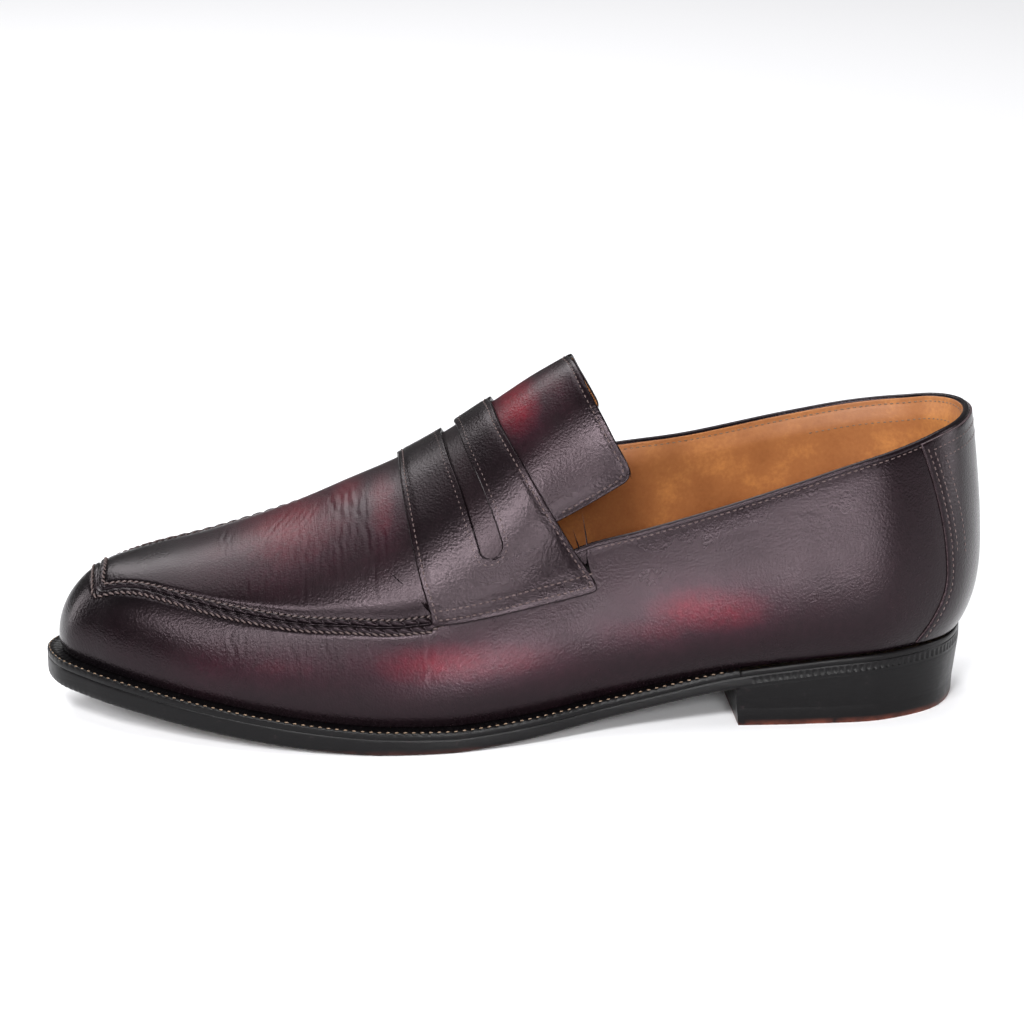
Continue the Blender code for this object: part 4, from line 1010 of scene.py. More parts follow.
def apron_seam():
    """The hand-sewn moccasin seam: the thread gathers wall and apron into two puckered ridges."""
    s = sizes("loafer_upper")
    coarse = np.linspace(station_at(SEAM_HIDDEN_X, False), station_at(SEAM_HIDDEN_X, True), 380)
    stations = np.linspace(coarse[0], coarse[-1], 1500)
    across = np.linspace(-2.7, 2.7, 23)
    on_seam = lambda gap: np.interp(stations, coarse, wall_edge(coarse, seam_gap(coarse, gap)))
    climbs = np.stack([on_seam(gap) for gap in across], 1)
    base = layer(stations[:, None], climbs, 0)
    middle = base[:, 11]
    run = np.concatenate([[0], np.cumsum(np.linalg.norm(np.diff(middle, axis=0), axis=1))])
    toe = np.interp(middle[:, 0], (-133, -127, -100, -70), (0.22, 0.3, 0.75, 1.0))
    height = s.seam_height * toe[:, None]
    gap = across[None, :]
    lobes = np.zeros(base.shape[:2])
    for centre, lag, share in ((1.2, 0.0, 0.85), (-1.2, 0.4, 1.0)):
        dome = np.clip(1 - ((gap - centre) / 1.2) ** 2, 0, 1) ** 0.7
        phase = (run[:, None] + (gap - centre) * 1.1) / s.seam_pitch + lag
        pucker = 0.15 + 0.85 * np.abs(np.sin(phase * math.pi)) ** 0.6
        lobes = np.maximum(lobes, dome * pucker * share)
    sunk = -0.45 * np.clip((np.abs(gap) - 1.9) / 0.8, 0, 1)
    lift = height * lobes + 0.05 + sunk - 0.45 * np.exp(-(gap / 0.4) ** 2)
    points = layer(stations[:, None], climbs, lift)
    # Painted shade and painted highlight: the seam is dark, lighter on the tops of its puckers and darkest
    # between them, evening out towards the toe.
    dark = 0.9 - 0.75 * lobes * toe[:, None]
    tones = np.stack([np.zeros(lobes.size), dark.ravel(), np.zeros(lobes.size)], -1)
    piece = make("apron_seam_ridges", points, grid_faces(*lobes.shape), "burgundy_box_calf", "shoe",
                 ["apron_seam_bead"], tones)
    thicken(piece, 1.0, 0)
    for side, gap, slant in (("lower", 2.25, -24), ("upper", -2.2, 24)):
        stitches(f"apron_seam_stitches_{side}", stations, on_seam(gap), 0.3, s.seam_pitch / 2,
                 "seam_waxed_thread", 0.92, 0.32, slant=slant, replaces=[f"apron_thread_{side}"])


# ---- Strap, tongue and counter ----------------------------------------------


def rounding(distance, radius):
    """How far a corner of a radius lies back from the edge at a distance from its end."""
    inside = np.clip(1 - distance / radius, 0, 1)
    return radius * (1 - np.sqrt(1 - inside ** 2))


def slot_half(climb, end):
    """Half width of the slot at a climb; its end is round."""
    depth = (climb - end) * CLIMB_MM
    half = along(SLOT_HALF_WIDTH, climb)
    radius = along(SLOT_HALF_WIDTH, end)
    inside = np.clip(1 - depth / radius, 0, 1)
    return np.where(depth > 0, half * np.sqrt(1 - inside ** 2), 0)


def strap_floor(x, climb, medial, corner):
    """Lowest climb of the strap below a point, with rounded lower corners."""
    foot = np.interp(x, STRAP_FOOT_X, STRAP_FOOT[medial])
    front = x - along(STRAP_FRONT, climb)
    rear = along(STRAP_REAR, climb) - x
    return foot + (rounding(front, corner) + rounding(rear, corner)) / CLIMB_MM


def strap_side(medial, part, shares, columns, corner):
    """Foot x and climb of one side of the strap in front of its slot (part 0) or behind it (part 1)."""
    end = SLOT_ENDS[medial]
    radius = float(along(SLOT_HALF_WIDTH, end))
    theta = np.linspace(0, math.pi / 2, 9)
    foot = float(np.interp(along(SLOT_MIDDLE, 0.3), STRAP_FOOT_X, STRAP_FOOT[medial]))
    below = foot + (end - foot) * (1 - (1 - np.linspace(0, 1, columns)) ** 1.15)
    round_end = end + radius * (1 - np.cos(theta)) / CLIMB_MM
    above = np.linspace(round_end[-1], 1, 40)
    climbs = np.concatenate([below[:-1], round_end, above[1:]])
    share_up = (climbs - foot) / (1 - foot)
    climb = np.broadcast_to(climbs, (len(shares), len(climbs))).copy()
    shares = np.asarray(shares)[:, None]
    for _ in range(6):
        half = slot_half(climbs, end)
        hole = along(SLOT_MIDDLE, climbs) + (half if part else -half)
        x = (hole * (1 - shares) + along(STRAP_REAR, climb) * shares if part
             else along(STRAP_FRONT, climb) * (1 - shares) + hole * shares)
        low = strap_floor(x, climb, medial, corner)
        climb = low + share_up * (1 - low)
    return x, climb


def saddle_strap():
    """The strap across the instep, with its slot, pressed down along its rows of stitches."""
    s = sizes("loafer_strap")
    parts = []
    shares = 0.5 - 0.5 * np.cos(np.linspace(0, math.pi, 19))
    for part in (0, 1):
        halves = []
        for medial in (0, 1):
            x, climb = strap_side(medial, part, shares, 14, s.corner)
            halves.append(np.stack([station_at(x, medial), climb, x], -1))
        parts.append(np.concatenate([halves[0], halves[1][:, -2::-1]], 1))
    points, faces, tones, first = [], [], [], 0
    for grid in parts:
        rows, columns = grid.shape[:2]
        x, climb = grid[..., 2], grid[..., 1]
        medial = grid[..., 0] > TOE_STATION
        lateral_low, medial_low = (np.interp(x, STRAP_FOOT_X, foot) for foot in STRAP_FOOT)
        low = np.where(medial, medial_low, lateral_low)
        foot = (climb - low) * CLIMB_MM
        edge = np.minimum(x - along(STRAP_FRONT, climb), along(STRAP_REAR, climb) - x)
        pressed = sum(np.exp(-((d - at) / 0.45) ** 2) for d, at in (
            (edge, s.stitch_margin), (foot, s.stitch_margin), (foot, s.second_row)))
        down = np.exp(-np.minimum(edge, foot) / 1.2)
        lift = s.lift - 0.22 * pressed - 0.3 * down
        place = layer(grid[..., 0], climb, lift)
        # Lighter along the front and rear edges: painted edge highlight where the rounded rim catches the light,
        # partly rubbed wear; worn carries both.
        worn = np.exp(-(edge / 0.9) ** 2) * 0.3
        tone = patina(place)
        tone[:, 0] *= 0.25
        tone[:, 1] = 0.5 - worn.ravel()
        points.append(place.reshape(-1, 3))
        tones.append(tone)
        faces += grid_faces(rows, columns, first=first)
        first += rows * columns
    points, faces, tones = drop_doubled(np.concatenate(points), faces, np.concatenate(tones))
    piece = make("saddle_strap_leather", points, faces, "burgundy_box_calf", "shoe", ["saddle_strap"], tones)
    thicken(piece, s.thickness, 0.6)


def strap_line(inside, climb_rise, front):
    """Line across the foot inside the strap's front or rear edge, as stations and climbs."""
    halves = []
    for medial in (0, 1):
        climb = np.linspace(0, 1, 120)
        for _ in range(6):
            x = along(STRAP_FRONT, climb) + inside if front else along(STRAP_REAR, climb) - inside
            low = np.interp(x, STRAP_FOOT_X, STRAP_FOOT[medial]) + climb_rise
            climb = low + np.linspace(0, 1, 120) * (1 - low)
        halves.append(np.stack([station_at(x, medial), climb]))
    return np.concatenate([halves[0], halves[1][:, -2::-1]], 1)


def strap_stitching():
    """The rows along the strap's edges, two at its feet, and the row round the slot."""
    s = sizes("loafer_strap")
    top = s.lift - 0.12
    thread = dict(pitch=s.stitch_pitch, finish_name="dark_waxed_thread", length=0.66, radius=0.23)
    rise = s.stitch_margin / CLIMB_MM
    line = strap_line(s.stitch_margin, rise, True)
    stitches("strap_stitches_front", *line, top, replaces=["strap_thread"], **thread)
    line = strap_line(s.stitch_margin, rise, False)
    stitches("strap_stitches_rear", *line, top, **thread)
    for medial, side in enumerate(("outer", "inner")):
        for row, up in (("low", s.stitch_margin), ("high", s.second_row)):
            foot = STRAP_FOOT[medial]
            front = along(STRAP_FRONT, foot[0]) + s.stitch_margin
            rear = along(STRAP_REAR, foot[1]) - s.stitch_margin
            x = np.linspace(front, rear, 90)
            climb = np.interp(x, STRAP_FOOT_X, foot) + up / CLIMB_MM
            stitches(f"strap_stitches_{side}_{row}", station_at(x, medial), climb, top, **thread)
    away = s.slot_margin
    for name, direction in (("front", -1), ("rear", 1)):
        halves = []
        for medial in (0, 1):
            end = SLOT_ENDS[medial]
            radius = float(along(SLOT_HALF_WIDTH, end)) + away
            theta = np.linspace(0, math.pi / 2, 20)
            start = end - away / CLIMB_MM
            climb = start + radius * (1 - np.cos(theta)) / CLIMB_MM
            climb = np.concatenate([climb, np.linspace(climb[-1], 1, 60)[1:]])
            half = along(SLOT_HALF_WIDTH, climb) + away
            half[:20] *= np.sin(theta)
            x = along(SLOT_MIDDLE, climb) + direction * half
            halves.append(np.stack([station_at(x, medial), climb]))
        line = np.concatenate([halves[0], halves[1][:, -2::-1]], 1)
        replaces = ["slot_thread"] if direction < 0 else ()
        stitches(f"slot_stitches_{name}", *line, top, replaces=replaces, **thread)


def tongue_grid(front_share=0.0, columns=46, rows=44, inside=0.0):
    """Stations, climbs and foot x over the tongue, with rounded free corners."""
    s = sizes("loafer_strap")
    shares = front_share + (1 - front_share) * np.sin(np.linspace(0, math.pi / 2, rows))
    grid = []
    for medial in (0, 1):
        climb = np.broadcast_to(np.linspace(0, 1, columns), (rows, columns)).copy()
        up = np.sin(climb * math.pi / 2) * 0.35 + climb * 0.65
        for _ in range(6):
            rear = along(TONGUE_REAR, climb) - inside
            x = along(TONGUE_FRONT, climb) * (1 - shares[:, None]) + rear * shares[:, None]
            low = TONGUE_FOOT[medial] + (rounding(rear - x, s.tongue_corner) + inside) / CLIMB_MM
            climb = low + up * (1 - low)
        half = np.stack([station_at(x, medial), climb, x], -1)
        grid.append(half if medial == 0 else half[:, -2::-1])
    return np.concatenate(grid, 1)


def tongue():
    """The tongue with its lining and its stitched border."""
    s = sizes("loafer_strap")
    grid = tongue_grid()
    station, climb, x = grid[..., 0], grid[..., 1], grid[..., 2]
    medial = station > TOE_STATION
    foot = (climb - np.where(medial, TONGUE_FOOT[1], TONGUE_FOOT[0])) * CLIMB_MM
    rear = along(TONGUE_REAR, climb) - x
    edge = np.minimum(rear, foot)
    lift = -0.3 - 0.15 * np.exp(-((edge - s.stitch_margin) / 0.45) ** 2) - 0.25 * np.exp(-edge / 0.8)
    place = layer(station, climb, lift)
    darkening = 0.7 * np.exp(-(np.clip(edge, 0, None) / 6.5) ** 2)
    tones = patina(place, darkening.ravel())
    piece = make("tongue_leather", place, grid_faces(*place.shape[:2]), "burgundy_box_calf", "tongue", ["tongue"],
                 tones)
    thicken(piece, s.tongue_thickness, 0.45)
    grid = tongue_grid(inside=0.5)
    place = layer(grid[..., 0], grid[..., 1], -0.3 - s.tongue_thickness)
    piece = make("tongue_lining_leather", place, grid_faces(*place.shape[:2]), "cognac_lining_leather", "tongue",
                 ["tongue_lining"])
    thicken(piece, 1.0, 0.3)
    line = tongue_grid(0.25, columns=120, rows=40, inside=s.stitch_margin)
    border = np.concatenate([line[:-1, 0], line[-1], line[-2::-1, -1]])
    stitches("tongue_stitches", border[:, 0], border[:, 1], -0.4, s.stitch_pitch, "dark_waxed_thread", 0.62, 0.24,
             body="tongue")


def counter_reach(row_shares, back_off=0.0, top_gap=5.0):
    """Stations of the counter cover's front edge on both sides, for rows at shares of its height."""
    edges = []
    away = np.linspace(0.3, 4.5, 110)
    for fine in (away, STATIONS - away):
        low, high = climb_at(fine, 1), wall_edge(fine, top_gap)
        grid = ribs(fine, low, high, row_shares, np.zeros((1, 1)))
        past = grid[..., 0] - along(COUNTER_EDGE, grid[..., 2]) - back_off
        edges.append(np.array([np.interp(0, -past[:, j], away) for j in range(len(row_shares))]))
    return edges


def counter_place(station, share, lift, top_gap=5.0):
    """One point for each pair of station and share of the counter cover's height."""
    low, high = climb_at(station, 1), wall_edge(station, top_gap)
    power = along(FULLNESS, feather(station)[:, 0]) / 2
    climb = low + (high - low) * share ** power
    return climb, layer(station, climb, lift)


def counter_cover():
    """The piece that covers the back of the quarters, with its stitches."""
    s = sizes("loafer_strap")
    rows = np.linspace(0, 1, 46)
    edges = counter_reach(rows, 0.0, 1.3)
    across = np.linspace(-1, 1, 131)
    station = np.where(across[None] > 0, edges[0][:, None], edges[1][:, None]) * across[None]
    share = np.broadcast_to(rows[:, None], station.shape)
    flat_station = station.ravel()
    near = (1 - np.abs(across))[None] * np.where(across[None] > 0, edges[0][:, None], edges[1][:, None]) * 24
    lift = s.counter_lift - 0.35 * np.exp(-near / 0.7) - 0.16 * np.exp(-((near - 1.8) / 0.4) ** 2)
    climb, place = counter_place(flat_station, share.ravel(), lift.ravel(), 1.3)
    tones = patina(place, 0.22)
    faces = grid_faces(*station.shape)
    piece = make("heel_counter_leather", place, faces, "burgundy_box_calf", "shoe", ["heel_counter_cover"], tones)
    face_outwards(piece)
    thicken(piece, s.counter_lift + 0.25, 0.3, "cut_calf_edge")
    for side, name in ((0, "outer"), (1, "inner")):
        shares = np.linspace(0.03, 0.97, 160)
        sign = 1 if side == 0 else -1
        reach = counter_reach(shares, 1.8, 1.3)[side] * sign
        climb, _ = counter_place(reach, shares, 0, 1.3)
        stitches(f"counter_stitches_{name}_front", reach, climb, s.counter_lift - 0.08, s.stitch_pitch,
                 "dark_waxed_thread", 0.62, 0.2)
        # Two ornamental rows that follow the topline and turn down beside the seam.
        for row, back, below in (("upper", 3.6, 4.8), ("lower", 6.8, 8.6)):
            down = np.linspace(0.45, 1.0, 120)
            reach = counter_reach(down, back, below)[side] * sign
            climb_down, _ = counter_place(reach, down, 0, below)
            back_run = np.linspace(reach[-1], 0.0, 100)[1:]
            climb_back = wall_edge(back_run, below)
            stitches(f"counter_stitches_{name}_{row}", np.concatenate([reach, back_run]),
                     np.concatenate([climb_down, climb_back]), s.counter_lift + 0.02, s.stitch_pitch,
                     "dark_waxed_thread", 0.62, 0.2)


def face_outwards(piece):
    """Flips an open surface whose faces look towards the middle of the shoe."""
    mesh = piece.data
    middle = Vector((-FRAME_SHIFT[0] * MM, -FRAME_SHIFT[1] * MM, 50 * MM))
    looks = sum(face.normal.dot(face.center - middle) * face.area for face in mesh.polygons)
    if looks < 0:
        mesh.flip_normals()


# ---- Topline and linings ----------------------------------------------------


def topline_stations(count, lateral_x, medial_x):
    """Stations round the back of the shoe, from the medial end of a run along the topline to its lateral end."""
    return np.linspace(station_at(medial_x, True) - STATIONS, station_at(lateral_x, False), count)


def topline_binding():
    """The turned-in edge: the upper's leather skived, rolled over the lining's edge and stitched down."""
    s = sizes("loafer_upper")
    stations = topline_stations(300, 10, 2)
    turn = np.linspace(0, math.pi, 13)
    radius = s.binding_radius
    gaps = np.concatenate([[1.9, 1.5], radius * (1 - np.sin(turn)) + 0.1, [1.8, 2.4]])
    rolled = -radius + 0.05 + radius * np.cos(turn)
    lifts = np.concatenate([[-0.12, 0.02], rolled, [-2 * radius, -2 * radius - 0.1]])
    climbs = np.stack([wall_edge(stations, g) for g in gaps], 1)
    lift = np.broadcast_to(lifts, climbs.shape)
    points = layer(stations[:, None], climbs, lift)
    tones = np.zeros((points[..., 0].size, 3))
    tones[:, 1] = 0.55
    piece = make("topline_turned_edge", points, grid_faces(*climbs.shape, flip=True), "burgundy_box_calf", "shoe",
                 ["topline_binding"], tones)
    thicken(piece, 0.6, 0.1)
    stations = topline_stations(300, 26, 18)
    climb = wall_edge(stations, s.topline_stitch_gap)
    stitches("topline_stitches", stations, climb, 0.05, s.topline_stitch_pitch, "dark_waxed_thread", 0.62, 0.2,
             replaces=["topline_thread"])


def lining_depth(x, gap):
    """Lift of the lining's inner face, which comes out to meet the turned edge near the topline."""
    deep = lining_lift(x) - 1.0
    near = np.clip(gap / 9, 0, 1)
    near = near * near * (3 - 2 * near)
    return -2.35 * (1 - near) + deep * near


def linings():
    """The quarter linings with their stitches."""
    s = sizes("loafer_upper")
    ends = (station_at(-24, False), station_at(-24, True) - STATIONS)
    for name, end in (("lateral", ends[0]), ("medial", ends[1])):
        stations = np.linspace(0, end, 150)
        x = feather(stations)[:, 0]
        low, high = climb_at(stations, 1), wall_edge(stations, 0.9)
        shares = np.concatenate([np.linspace(0, 0.86, 26), np.linspace(0.88, 1, 14)])
        outer = ribs(stations, low, high, shares, np.zeros((1, 1)))
        topline = along(TOPLINE_LATERAL if name == "lateral" else TOPLINE_MEDIAL, outer[..., 0])
        gap = np.maximum(topline - outer[..., 2], 0.0)
        row = np.exp(-((gap - s.lining_stitch_gap) / 0.5) ** 2) * 0.15
        points = ribs(stations, low, high, shares, lining_depth(x[:, None], gap) + row)
        piece = make(f"quarter_lining_leather_{name}", points, grid_faces(*gap.shape), "cognac_lining_leather",
                     "shoe", [f"quarter_lining_{name}"])
        face_outwards(piece)
        piece.data.flip_normals()
        thicken(piece, 0.9, 0.2)
    stations = topline_stations(300, 30, 20)
    x = feather(stations)[:, 0]
    climb = wall_edge(stations, s.lining_stitch_gap)
    line = layer(stations, climb, lining_depth(x, s.lining_stitch_gap))
    stitch_line("lining_stitches_upper", line, -last_normal(stations, climb), s.topline_stitch_pitch,
                "pale_waxed_thread", 0.6, 0.2)
    stations = topline_stations(120, 104, 104)
    climb = wall_edge(stations, 8.5)
    x = feather(stations)[:, 0]
    line = layer(stations, climb, lining_depth(x, 8.5))
    stitch_line("lining_stitches_heel", line, -last_normal(stations, climb), s.topline_stitch_pitch,
                "pale_waxed_thread", 0.6, 0.2)


def vamp_lining():
    """The lining over the toes."""
    floors = [lambda x, side=side: climb_at(station_at(x, side), 1) for side in (False, True)]
    grid = crossing(straight_rows(toe_feet(-26.5, 60)), floors, 26, lining_lift)
    points = layer(grid[..., 0], grid[..., 1], grid[..., 2])
    points, faces, _ = drop_doubled(points, grid_faces(*grid.shape[:2]))
    piece = make("vamp_lining_leather", points, faces, "cognac_lining_leather", "shoe", ["vamp_lining"])
    thicken(piece, 1.0, 0.2)


# ---- Sizes and colours ------------------------------------------------------


def srgb(code):
    """A hex colour as linear red, green, blue and alpha."""
    channels = [int(code[i:i + 2], 16) / 255 for i in (1, 3, 5)]
    return (*(c / 12.92 if c <= 0.04045 else ((c + 0.055) / 1.055) ** 2.4 for c in channels), 1)


def length(name, description, mm):
    return FloatProperty(name=name, description=description, default=mm * MM, min=0.0, precision=5, unit="LENGTH")


def hex_colour(name, description, code):
    return FloatVectorProperty(name=name, description=description, default=srgb(code), min=0.0, max=1.0, size=4,
                               subtype="COLOR")


def sizes(group):
    """The settings of a group, its lengths in millimetres."""
    settings = getattr(bpy.context.scene, group)
    plain = {}
    for setting in settings.bl_rna.properties:
        if setting.type == "FLOAT":
            value = getattr(settings, setting.identifier)
            plain[setting.identifier] = value / MM if setting.unit == "LENGTH" else value
    return SimpleNamespace(**plain)


class LoaferColours(bpy.types.PropertyGroup):
    """Colours and sheen of the leathers, edges and threads."""

    calf_dark: hex_colour("Calf, dark", "Deepest burgundy of the patina", "#10080b")
    calf_mid: hex_colour("Calf, middle", "Burgundy between the dark and the red", "#200a12")
    calf_red: hex_colour("Calf, red", "Oxblood where the dye was rubbed back", "#3e0a16")
    calf_bright: hex_colour("Calf, bright", "Brightest red of the patina", "#5e0c19")
    calf_black: hex_colour("Calf, burnished", "Burnished edges, toe and strap", "#0a0709")
    # calf_black is also the colour of the painted shade beside the apron seam, above the welt and between the
    # seam's puckers, as well as of the burnished edges, toe and strap.
    calf_wax: hex_colour("Wax", "Tint that the coloured wax gives the highlights", "#ead2dc")
    calf_roughness: FloatProperty(
        name="Calf roughness", description="Roughness of the waxed calf", default=0.28, min=0.05, max=1.0
    )
    lining: hex_colour("Lining", "Cognac lining leather", "#9a6236")
    lining_shade: hex_colour("Lining, shade", "Darker clouds of the lining", "#814c27")
    lining_light: hex_colour("Lining, light", "Lighter clouds of the lining", "#c58648")
    edge_black: hex_colour("Edge ink", "Black ink of the sole's and the heel's edges", "#060506")
    edge_scuff: hex_colour("Edge scuff", "Where the edge ink has worn thin", "#2a2224")
    worn_leather: hex_colour("Worn leather", "Red-brown leather that shows at the worn bottom edge", "#5c2f24")
    sole_stain: hex_colour("Sole stain", "Stained part of the sole", "#3a2a20")
    sole_worn: hex_colour("Sole, worn", "Sole leather where walking rubbed it", "#8a6a4a")
    thread_dark: hex_colour("Dark thread", "Waxed thread of the upper", "#4c3a38")
    thread_seam: hex_colour("Seam thread", "Waxed thread of the apron seam", "#4a3a38")
    thread_pale: hex_colour("Pale thread", "Waxed thread of the welt and the lining", "#7d6650")


class LoaferSole(bpy.types.PropertyGroup):
    """Sizes of the welt, the outsole and the heel."""

    edge_round: length("Edge rounding", "How far the sole's edges are rounded", 0.25)
    wheel_pitch: length("Wheel pitch", "Distance between the notches wheeled into the welt", 2.7)
    wheel_depth: length("Wheel depth", "Depth of the notches in the welt", 0.42)
    tick_pitch: length("Tick pitch", "Distance between the ticks wheeled into the heel", 2.2)
    tick_depth: length("Tick depth", "Depth of the ticks in the heel", 0.22)
    heel_taper: length("Heel taper", "How much the heel narrows on each side towards the ground", 1.4)
    top_piece_height: length("Top piece height", "Thickness of the rubber top piece", 6.0)


class LoaferUpper(bpy.types.PropertyGroup):
    """Sizes of the vamp, the quarters, the apron and their seams."""

    upper_thickness: length("Upper thickness", "Thickness of the calf", 1.3)
    crease: FloatProperty(name="Crease", description="How deep the flex creases are", default=1.0, min=0.0,
                          max=3.0)
    seam_height: length("Seam height", "Height of the apron seam's ridges", 1.25)
    seam_pitch: length("Seam pitch", "Distance between the puckers of the apron seam", 4.3)
    binding_radius: length("Turned edge radius", "Half the thickness of the turned topline edge", 1.15)
    topline_stitch_gap: length("Topline stitch gap", "Distance from the topline to its stitches", 2.4)
    topline_stitch_pitch: length("Topline stitch pitch", "Distance between the topline's stitches", 2.1)
    lining_stitch_gap: length("Lining stitch gap", "Distance from the topline to the lining's stitches", 2.6)


class LoaferStrap(bpy.types.PropertyGroup):
    """Sizes of the saddle strap, the tongue and the counter."""

    lift: length("Strap lift", "Height of the strap's face above the upper", 1.75)
    thickness: length("Strap thickness", "Thickness of the strap", 1.55)
    corner: length("Strap corner", "Radius of the strap's lower corners", 1.8)
    stitch_margin: length("Stitch margin", "Distance from an edge to its stitches", 1.7)
    second_row: length("Second row", "Distance from the strap's lower edge to its second row of stitches", 4.4)
    slot_margin: length("Slot margin", "Distance from the slot to its stitches", 1.6)
    stitch_pitch: length("Stitch pitch", "Distance between stitches", 2.1)
    tongue_thickness: length("Tongue thickness", "Thickness of the tongue's outer leather", 1.3)
    tongue_corner: length("Tongue corner", "Radius of the tongue's free corners", 3.2)
    counter_lift: length("Counter lift", "Height of the counter's face above the quarters", 0.85)


class LoaferStage(bpy.types.PropertyGroup):
    """Where the camera stands and how the studio is lit."""

    azimuth: FloatProperty(
        name="Azimuth", description="Turn of the camera from the outer side towards the toe",
        default=math.radians(4.6), subtype="ANGLE", unit="ROTATION",
    )
    elevation: FloatProperty(
        name="Elevation", description="Height of the camera as an angle",
        default=math.radians(18.0), subtype="ANGLE", unit="ROTATION",
    )
    distance: FloatProperty(
        name="Distance", description="Distance from the camera to the shoe's middle", default=0.95, unit="LENGTH"
    )
    lens: FloatProperty(name="Lens", description="Focal length in millimetres", default=101.8)
    shift: FloatVectorProperty(name="Shift", description="Lens shift to the side and upwards", size=2,
                               default=(0.00586, 0.0254))
    floor: hex_colour("Floor", "Seamless paper", "#f0f0f2")
    light: FloatProperty(name="Light", description="Strength of all the lamps together", default=1.0, min=0.0)


# ---- Operators --------------------------------------------------------------


class LOAFER_OT_outsole(bpy.types.Operator):
    """Cuts the leather outsole with its inked edge."""

    bl_idname = "loafer.outsole"
    bl_label = "Outsole"

    def execute(self, context):
        outsole()
        return {"FINISHED"}


class LOAFER_OT_welt(bpy.types.Operator):
    """Lays the wheeled welt with its stitches, and the rand round the heel seat."""

    bl_idname = "loafer.welt"
    bl_label = "Welt and Rand"

    def execute(self, context):
        welt()
        heel_rand()
        return {"FINISHED"}


class LOAFER_OT_heel(bpy.types.Operator):
    """Stacks the heel's lifts on the rubber top piece."""

    bl_idname = "loafer.heel"
    bl_label = "Heel"

    def execute(self, context):
        heel()
        return {"FINISHED"}


class LOAFER_OT_wall(bpy.types.Operator):
    """Lasts the vamp and the quarters."""

    bl_idname = "loafer.wall"
    bl_label = "Vamp and Quarters"

    def execute(self, context):
        vamp_and_quarters()
        return {"FINISHED"}


class LOAFER_OT_apron(bpy.types.Operator):
    """Sets in the apron and sews its moccasin seam."""

    bl_idname = "loafer.apron"
    bl_label = "Apron and Seam"

    def execute(self, context):
        apron()
        apron_seam()
        return {"FINISHED"}


class LOAFER_OT_strap(bpy.types.Operator):
    """Lays the slotted saddle strap over the instep and stitches it down."""

    bl_idname = "loafer.strap"
    bl_label = "Saddle Strap"

    def execute(self, context):
        saddle_strap()
        strap_stitching()
        return {"FINISHED"}


class LOAFER_OT_tongue(bpy.types.Operator):
    """Cuts the tongue, its lining and its stitched border."""

    bl_idname = "loafer.tongue"
    bl_label = "Tongue"

    def execute(self, context):
        tongue()
        return {"FINISHED"}


class LOAFER_OT_counter(bpy.types.Operator):
    """Covers the back of the quarters and adds the ornamental rows of stitches."""

    bl_idname = "loafer.counter"
    bl_label = "Heel Counter"

    def execute(self, context):
        counter_cover()
        return {"FINISHED"}


class LOAFER_OT_topline(bpy.types.Operator):
    """Turns in the topline's edge and stitches it."""

    bl_idname = "loafer.topline"
    bl_label = "Topline"

    def execute(self, context):
        topline_binding()
        return {"FINISHED"}


class LOAFER_OT_linings(bpy.types.Operator):
    """Lines the quarters and the vamp."""

    bl_idname = "loafer.linings"
    bl_label = "Linings"

    def execute(self, context):
        linings()
        vamp_lining()
        return {"FINISHED"}


class LOAFER_OT_hidden_stock(bpy.types.Operator):
    """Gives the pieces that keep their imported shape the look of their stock."""

    bl_idname = "loafer.hidden_stock"
    bl_label = "Hidden Stock"

    def execute(self, context):
        stock = {
            "insole": "shaved_insole_leather",
            "sock_liner": "cognac_lining_leather",
            "heel_grip": "cognac_lining_leather",
            "cork_filler": "pressed_cork",
            "shank": "cold_rolled_spring_steel",
            "heel_stiffener": "bonded_leatherboard",
            "toe_puff": "bonded_leatherboard",
        }
        stock.update({name: "drawn_brass" for name in frame["nodes"] if name.startswith("top_piece_nail")})
        for name, finish_name in stock.items():
            node = frame["nodes"][name]
            for slot in node.material_slots:
                slot.material = finish(finish_name)
        return {"FINISHED"}


def lamp(name, place, aim, size, power):
    """A soft box at a place in millimetres, turned to a point in millimetres."""
    data = bpy.data.lights.new(name, "AREA")
    data.shape = "RECTANGLE"
    data.size, data.size_y = size
    data.energy = power
    box = bpy.data.objects.new(name, data)
    box.location = Vector(place) * MM
    box.rotation_euler = (Vector(aim) - Vector(place)).to_track_quat("-Z", "Y").to_euler()
    bpy.context.scene.collection.objects.link(box)


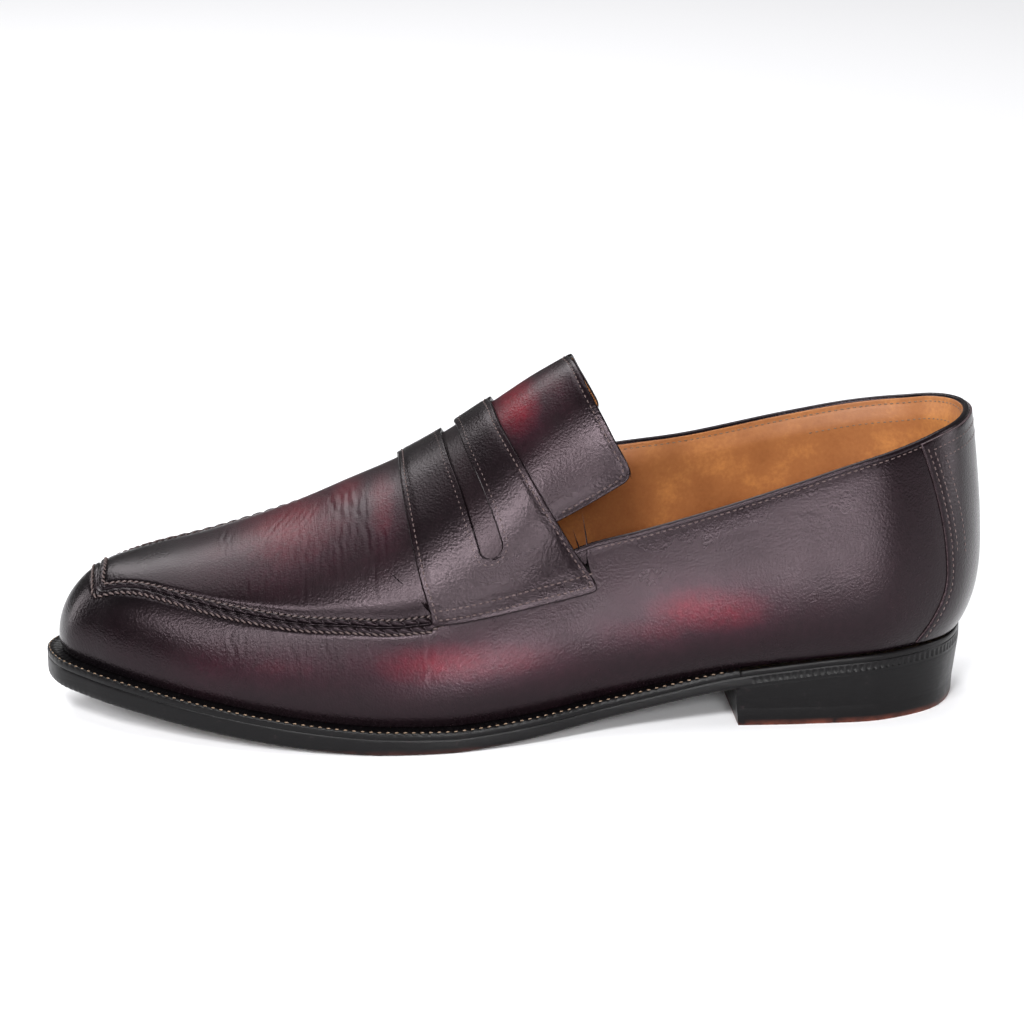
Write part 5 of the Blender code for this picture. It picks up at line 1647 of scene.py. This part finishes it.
class LOAFER_OT_stage(bpy.types.Operator):
    """Sets the floor, the lights and the camera."""

    bl_idname = "loafer.stage"
    bl_label = "Stage"

    def execute(self, context):
        s = context.scene.loafer_stage
        mesh = bpy.data.meshes.new("floor")
        mesh.from_pydata([(-6, -6, 0), (6, -6, 0), (6, 6, 0), (-6, 6, 0)], [], [(0, 1, 2, 3)])
        floor = bpy.data.objects.new("floor", mesh)
        context.scene.collection.objects.link(floor)
        # Matt seamless paper.
        paper, _, shader, _ = new_material("seamless_paper")
        shader.inputs["Base Color"].default_value = s.floor
        shader.inputs["Roughness"].default_value = 0.9
        mesh.materials.append(paper)
        sky = bpy.data.lights.new("overhead_bank", "SUN")
        sky.energy = 2.0 * s.light
        sky.angle = math.radians(50)
        bank = bpy.data.objects.new("overhead_bank", sky)
        bank.rotation_euler = Vector((-0.1, 0.3, 0.95)).to_track_quat("Z", "Y").to_euler()
        context.scene.collection.objects.link(bank)
        lamp("key_softbox", (-300, -930, 880), (0, 0, 60), (0.28, 0.25), 12 * s.light)
        lamp("side_softbox", (-760, -900, 720), (-80, -35, 35), (0.22, 0.22), 6.5 * s.light)
        lamp("quarter_strip", (125, -430, 22), (100, -38, 58), (0.26, 0.04), 1.2 * s.light)
        lamp("strap_softbox", (122, -1162, 570), (15, -30, 76), (0.22, 0.22), 6 * s.light)
        lamp("wall_strip", (-427, -1058, 371), (-59, -42, 31), (0.3, 0.15), 2.2 * s.light)
        lamp("back_softbox", (-560, 1380, 1400), (-40, 0, 50), (1.1, 0.6), 11 * s.light)
        lamp("toe_strip", (-900, 260, 260), (-120, 0, 35), (0.25, 0.5), 2.4 * s.light)
        lamp("heel_strip", (900, -120, 220), (140, 0, 60), (0.2, 0.5), 2.4 * s.light)
        studio = bpy.data.worlds.new("studio")
        studio.use_nodes = True
        background = studio.node_tree.nodes["Background"]
        background.inputs["Color"].default_value = (1, 1, 1, 1)
        background.inputs["Strength"].default_value = 0.16
        context.scene.world = studio
        context.scene.view_settings.view_transform = "Standard"
        data = bpy.data.cameras.new("camera")
        data.sensor_width = 36
        data.lens = s.lens
        data.shift_x, data.shift_y = s.shift
        camera = bpy.data.objects.new("camera", data)
        level = math.cos(s.elevation)
        back = Vector((-math.sin(s.azimuth) * level, -math.cos(s.azimuth) * level, math.sin(s.elevation)))
        aim = Vector(world((0, 0, 55))[0])
        camera.location = aim + back * s.distance
        camera.rotation_euler = back.to_track_quat("Z", "Y").to_euler()
        context.scene.collection.objects.link(camera)
        context.scene.camera = camera
        return {"FINISHED"}


class LOAFER_PT_panel(bpy.types.Panel):
    """Lists the steps that make the shoe, with their sizes and colours."""

    bl_idname = "LOAFER_PT_panel"
    bl_label = "Penny Loafer"
    bl_space_type = "VIEW_3D"
    bl_region_type = "UI"
    bl_category = "Loafer"

    def draw(self, context):
        for group, _ in GROUPS:
            settings = getattr(context.scene, group)
            box = self.layout.box()
            box.label(text=settings.bl_rna.name)
            for name in settings.bl_rna.properties.keys():
                if name not in ("rna_type", "name"):
                    box.prop(settings, name)
        for operator in OPERATORS:
            self.layout.operator(operator.bl_idname)


GROUPS = (
    ("loafer_colours", LoaferColours),
    ("loafer_sole", LoaferSole),
    ("loafer_upper", LoaferUpper),
    ("loafer_strap", LoaferStrap),
    ("loafer_stage", LoaferStage),
)
OPERATORS = (
    LOAFER_OT_outsole,
    LOAFER_OT_welt,
    LOAFER_OT_heel,
    LOAFER_OT_wall,
    LOAFER_OT_apron,
    LOAFER_OT_strap,
    LOAFER_OT_tongue,
    LOAFER_OT_counter,
    LOAFER_OT_topline,
    LOAFER_OT_linings,
    LOAFER_OT_hidden_stock,
    LOAFER_OT_stage,
)


def register():
    for name, group in GROUPS:
        bpy.utils.register_class(group)
        setattr(bpy.types.Scene, name, PointerProperty(type=group))
    for operator in OPERATORS:
        bpy.utils.register_class(operator)
    bpy.utils.register_class(LOAFER_PT_panel)


def unregister():
    bpy.utils.unregister_class(LOAFER_PT_panel)
    for operator in reversed(OPERATORS):
        bpy.utils.unregister_class(operator)
    for name, group in reversed(GROUPS):
        delattr(bpy.types.Scene, name)
        bpy.utils.unregister_class(group)


def main():
    register()
    bpy.ops.loafer.outsole()
    bpy.ops.loafer.welt()
    bpy.ops.loafer.heel()
    bpy.ops.loafer.wall()
    bpy.ops.loafer.apron()
    bpy.ops.loafer.strap()
    bpy.ops.loafer.tongue()
    bpy.ops.loafer.counter()
    bpy.ops.loafer.topline()
    bpy.ops.loafer.linings()
    bpy.ops.loafer.hidden_stock()
    bpy.ops.loafer.stage()


if __name__ == "__main__":
    main()
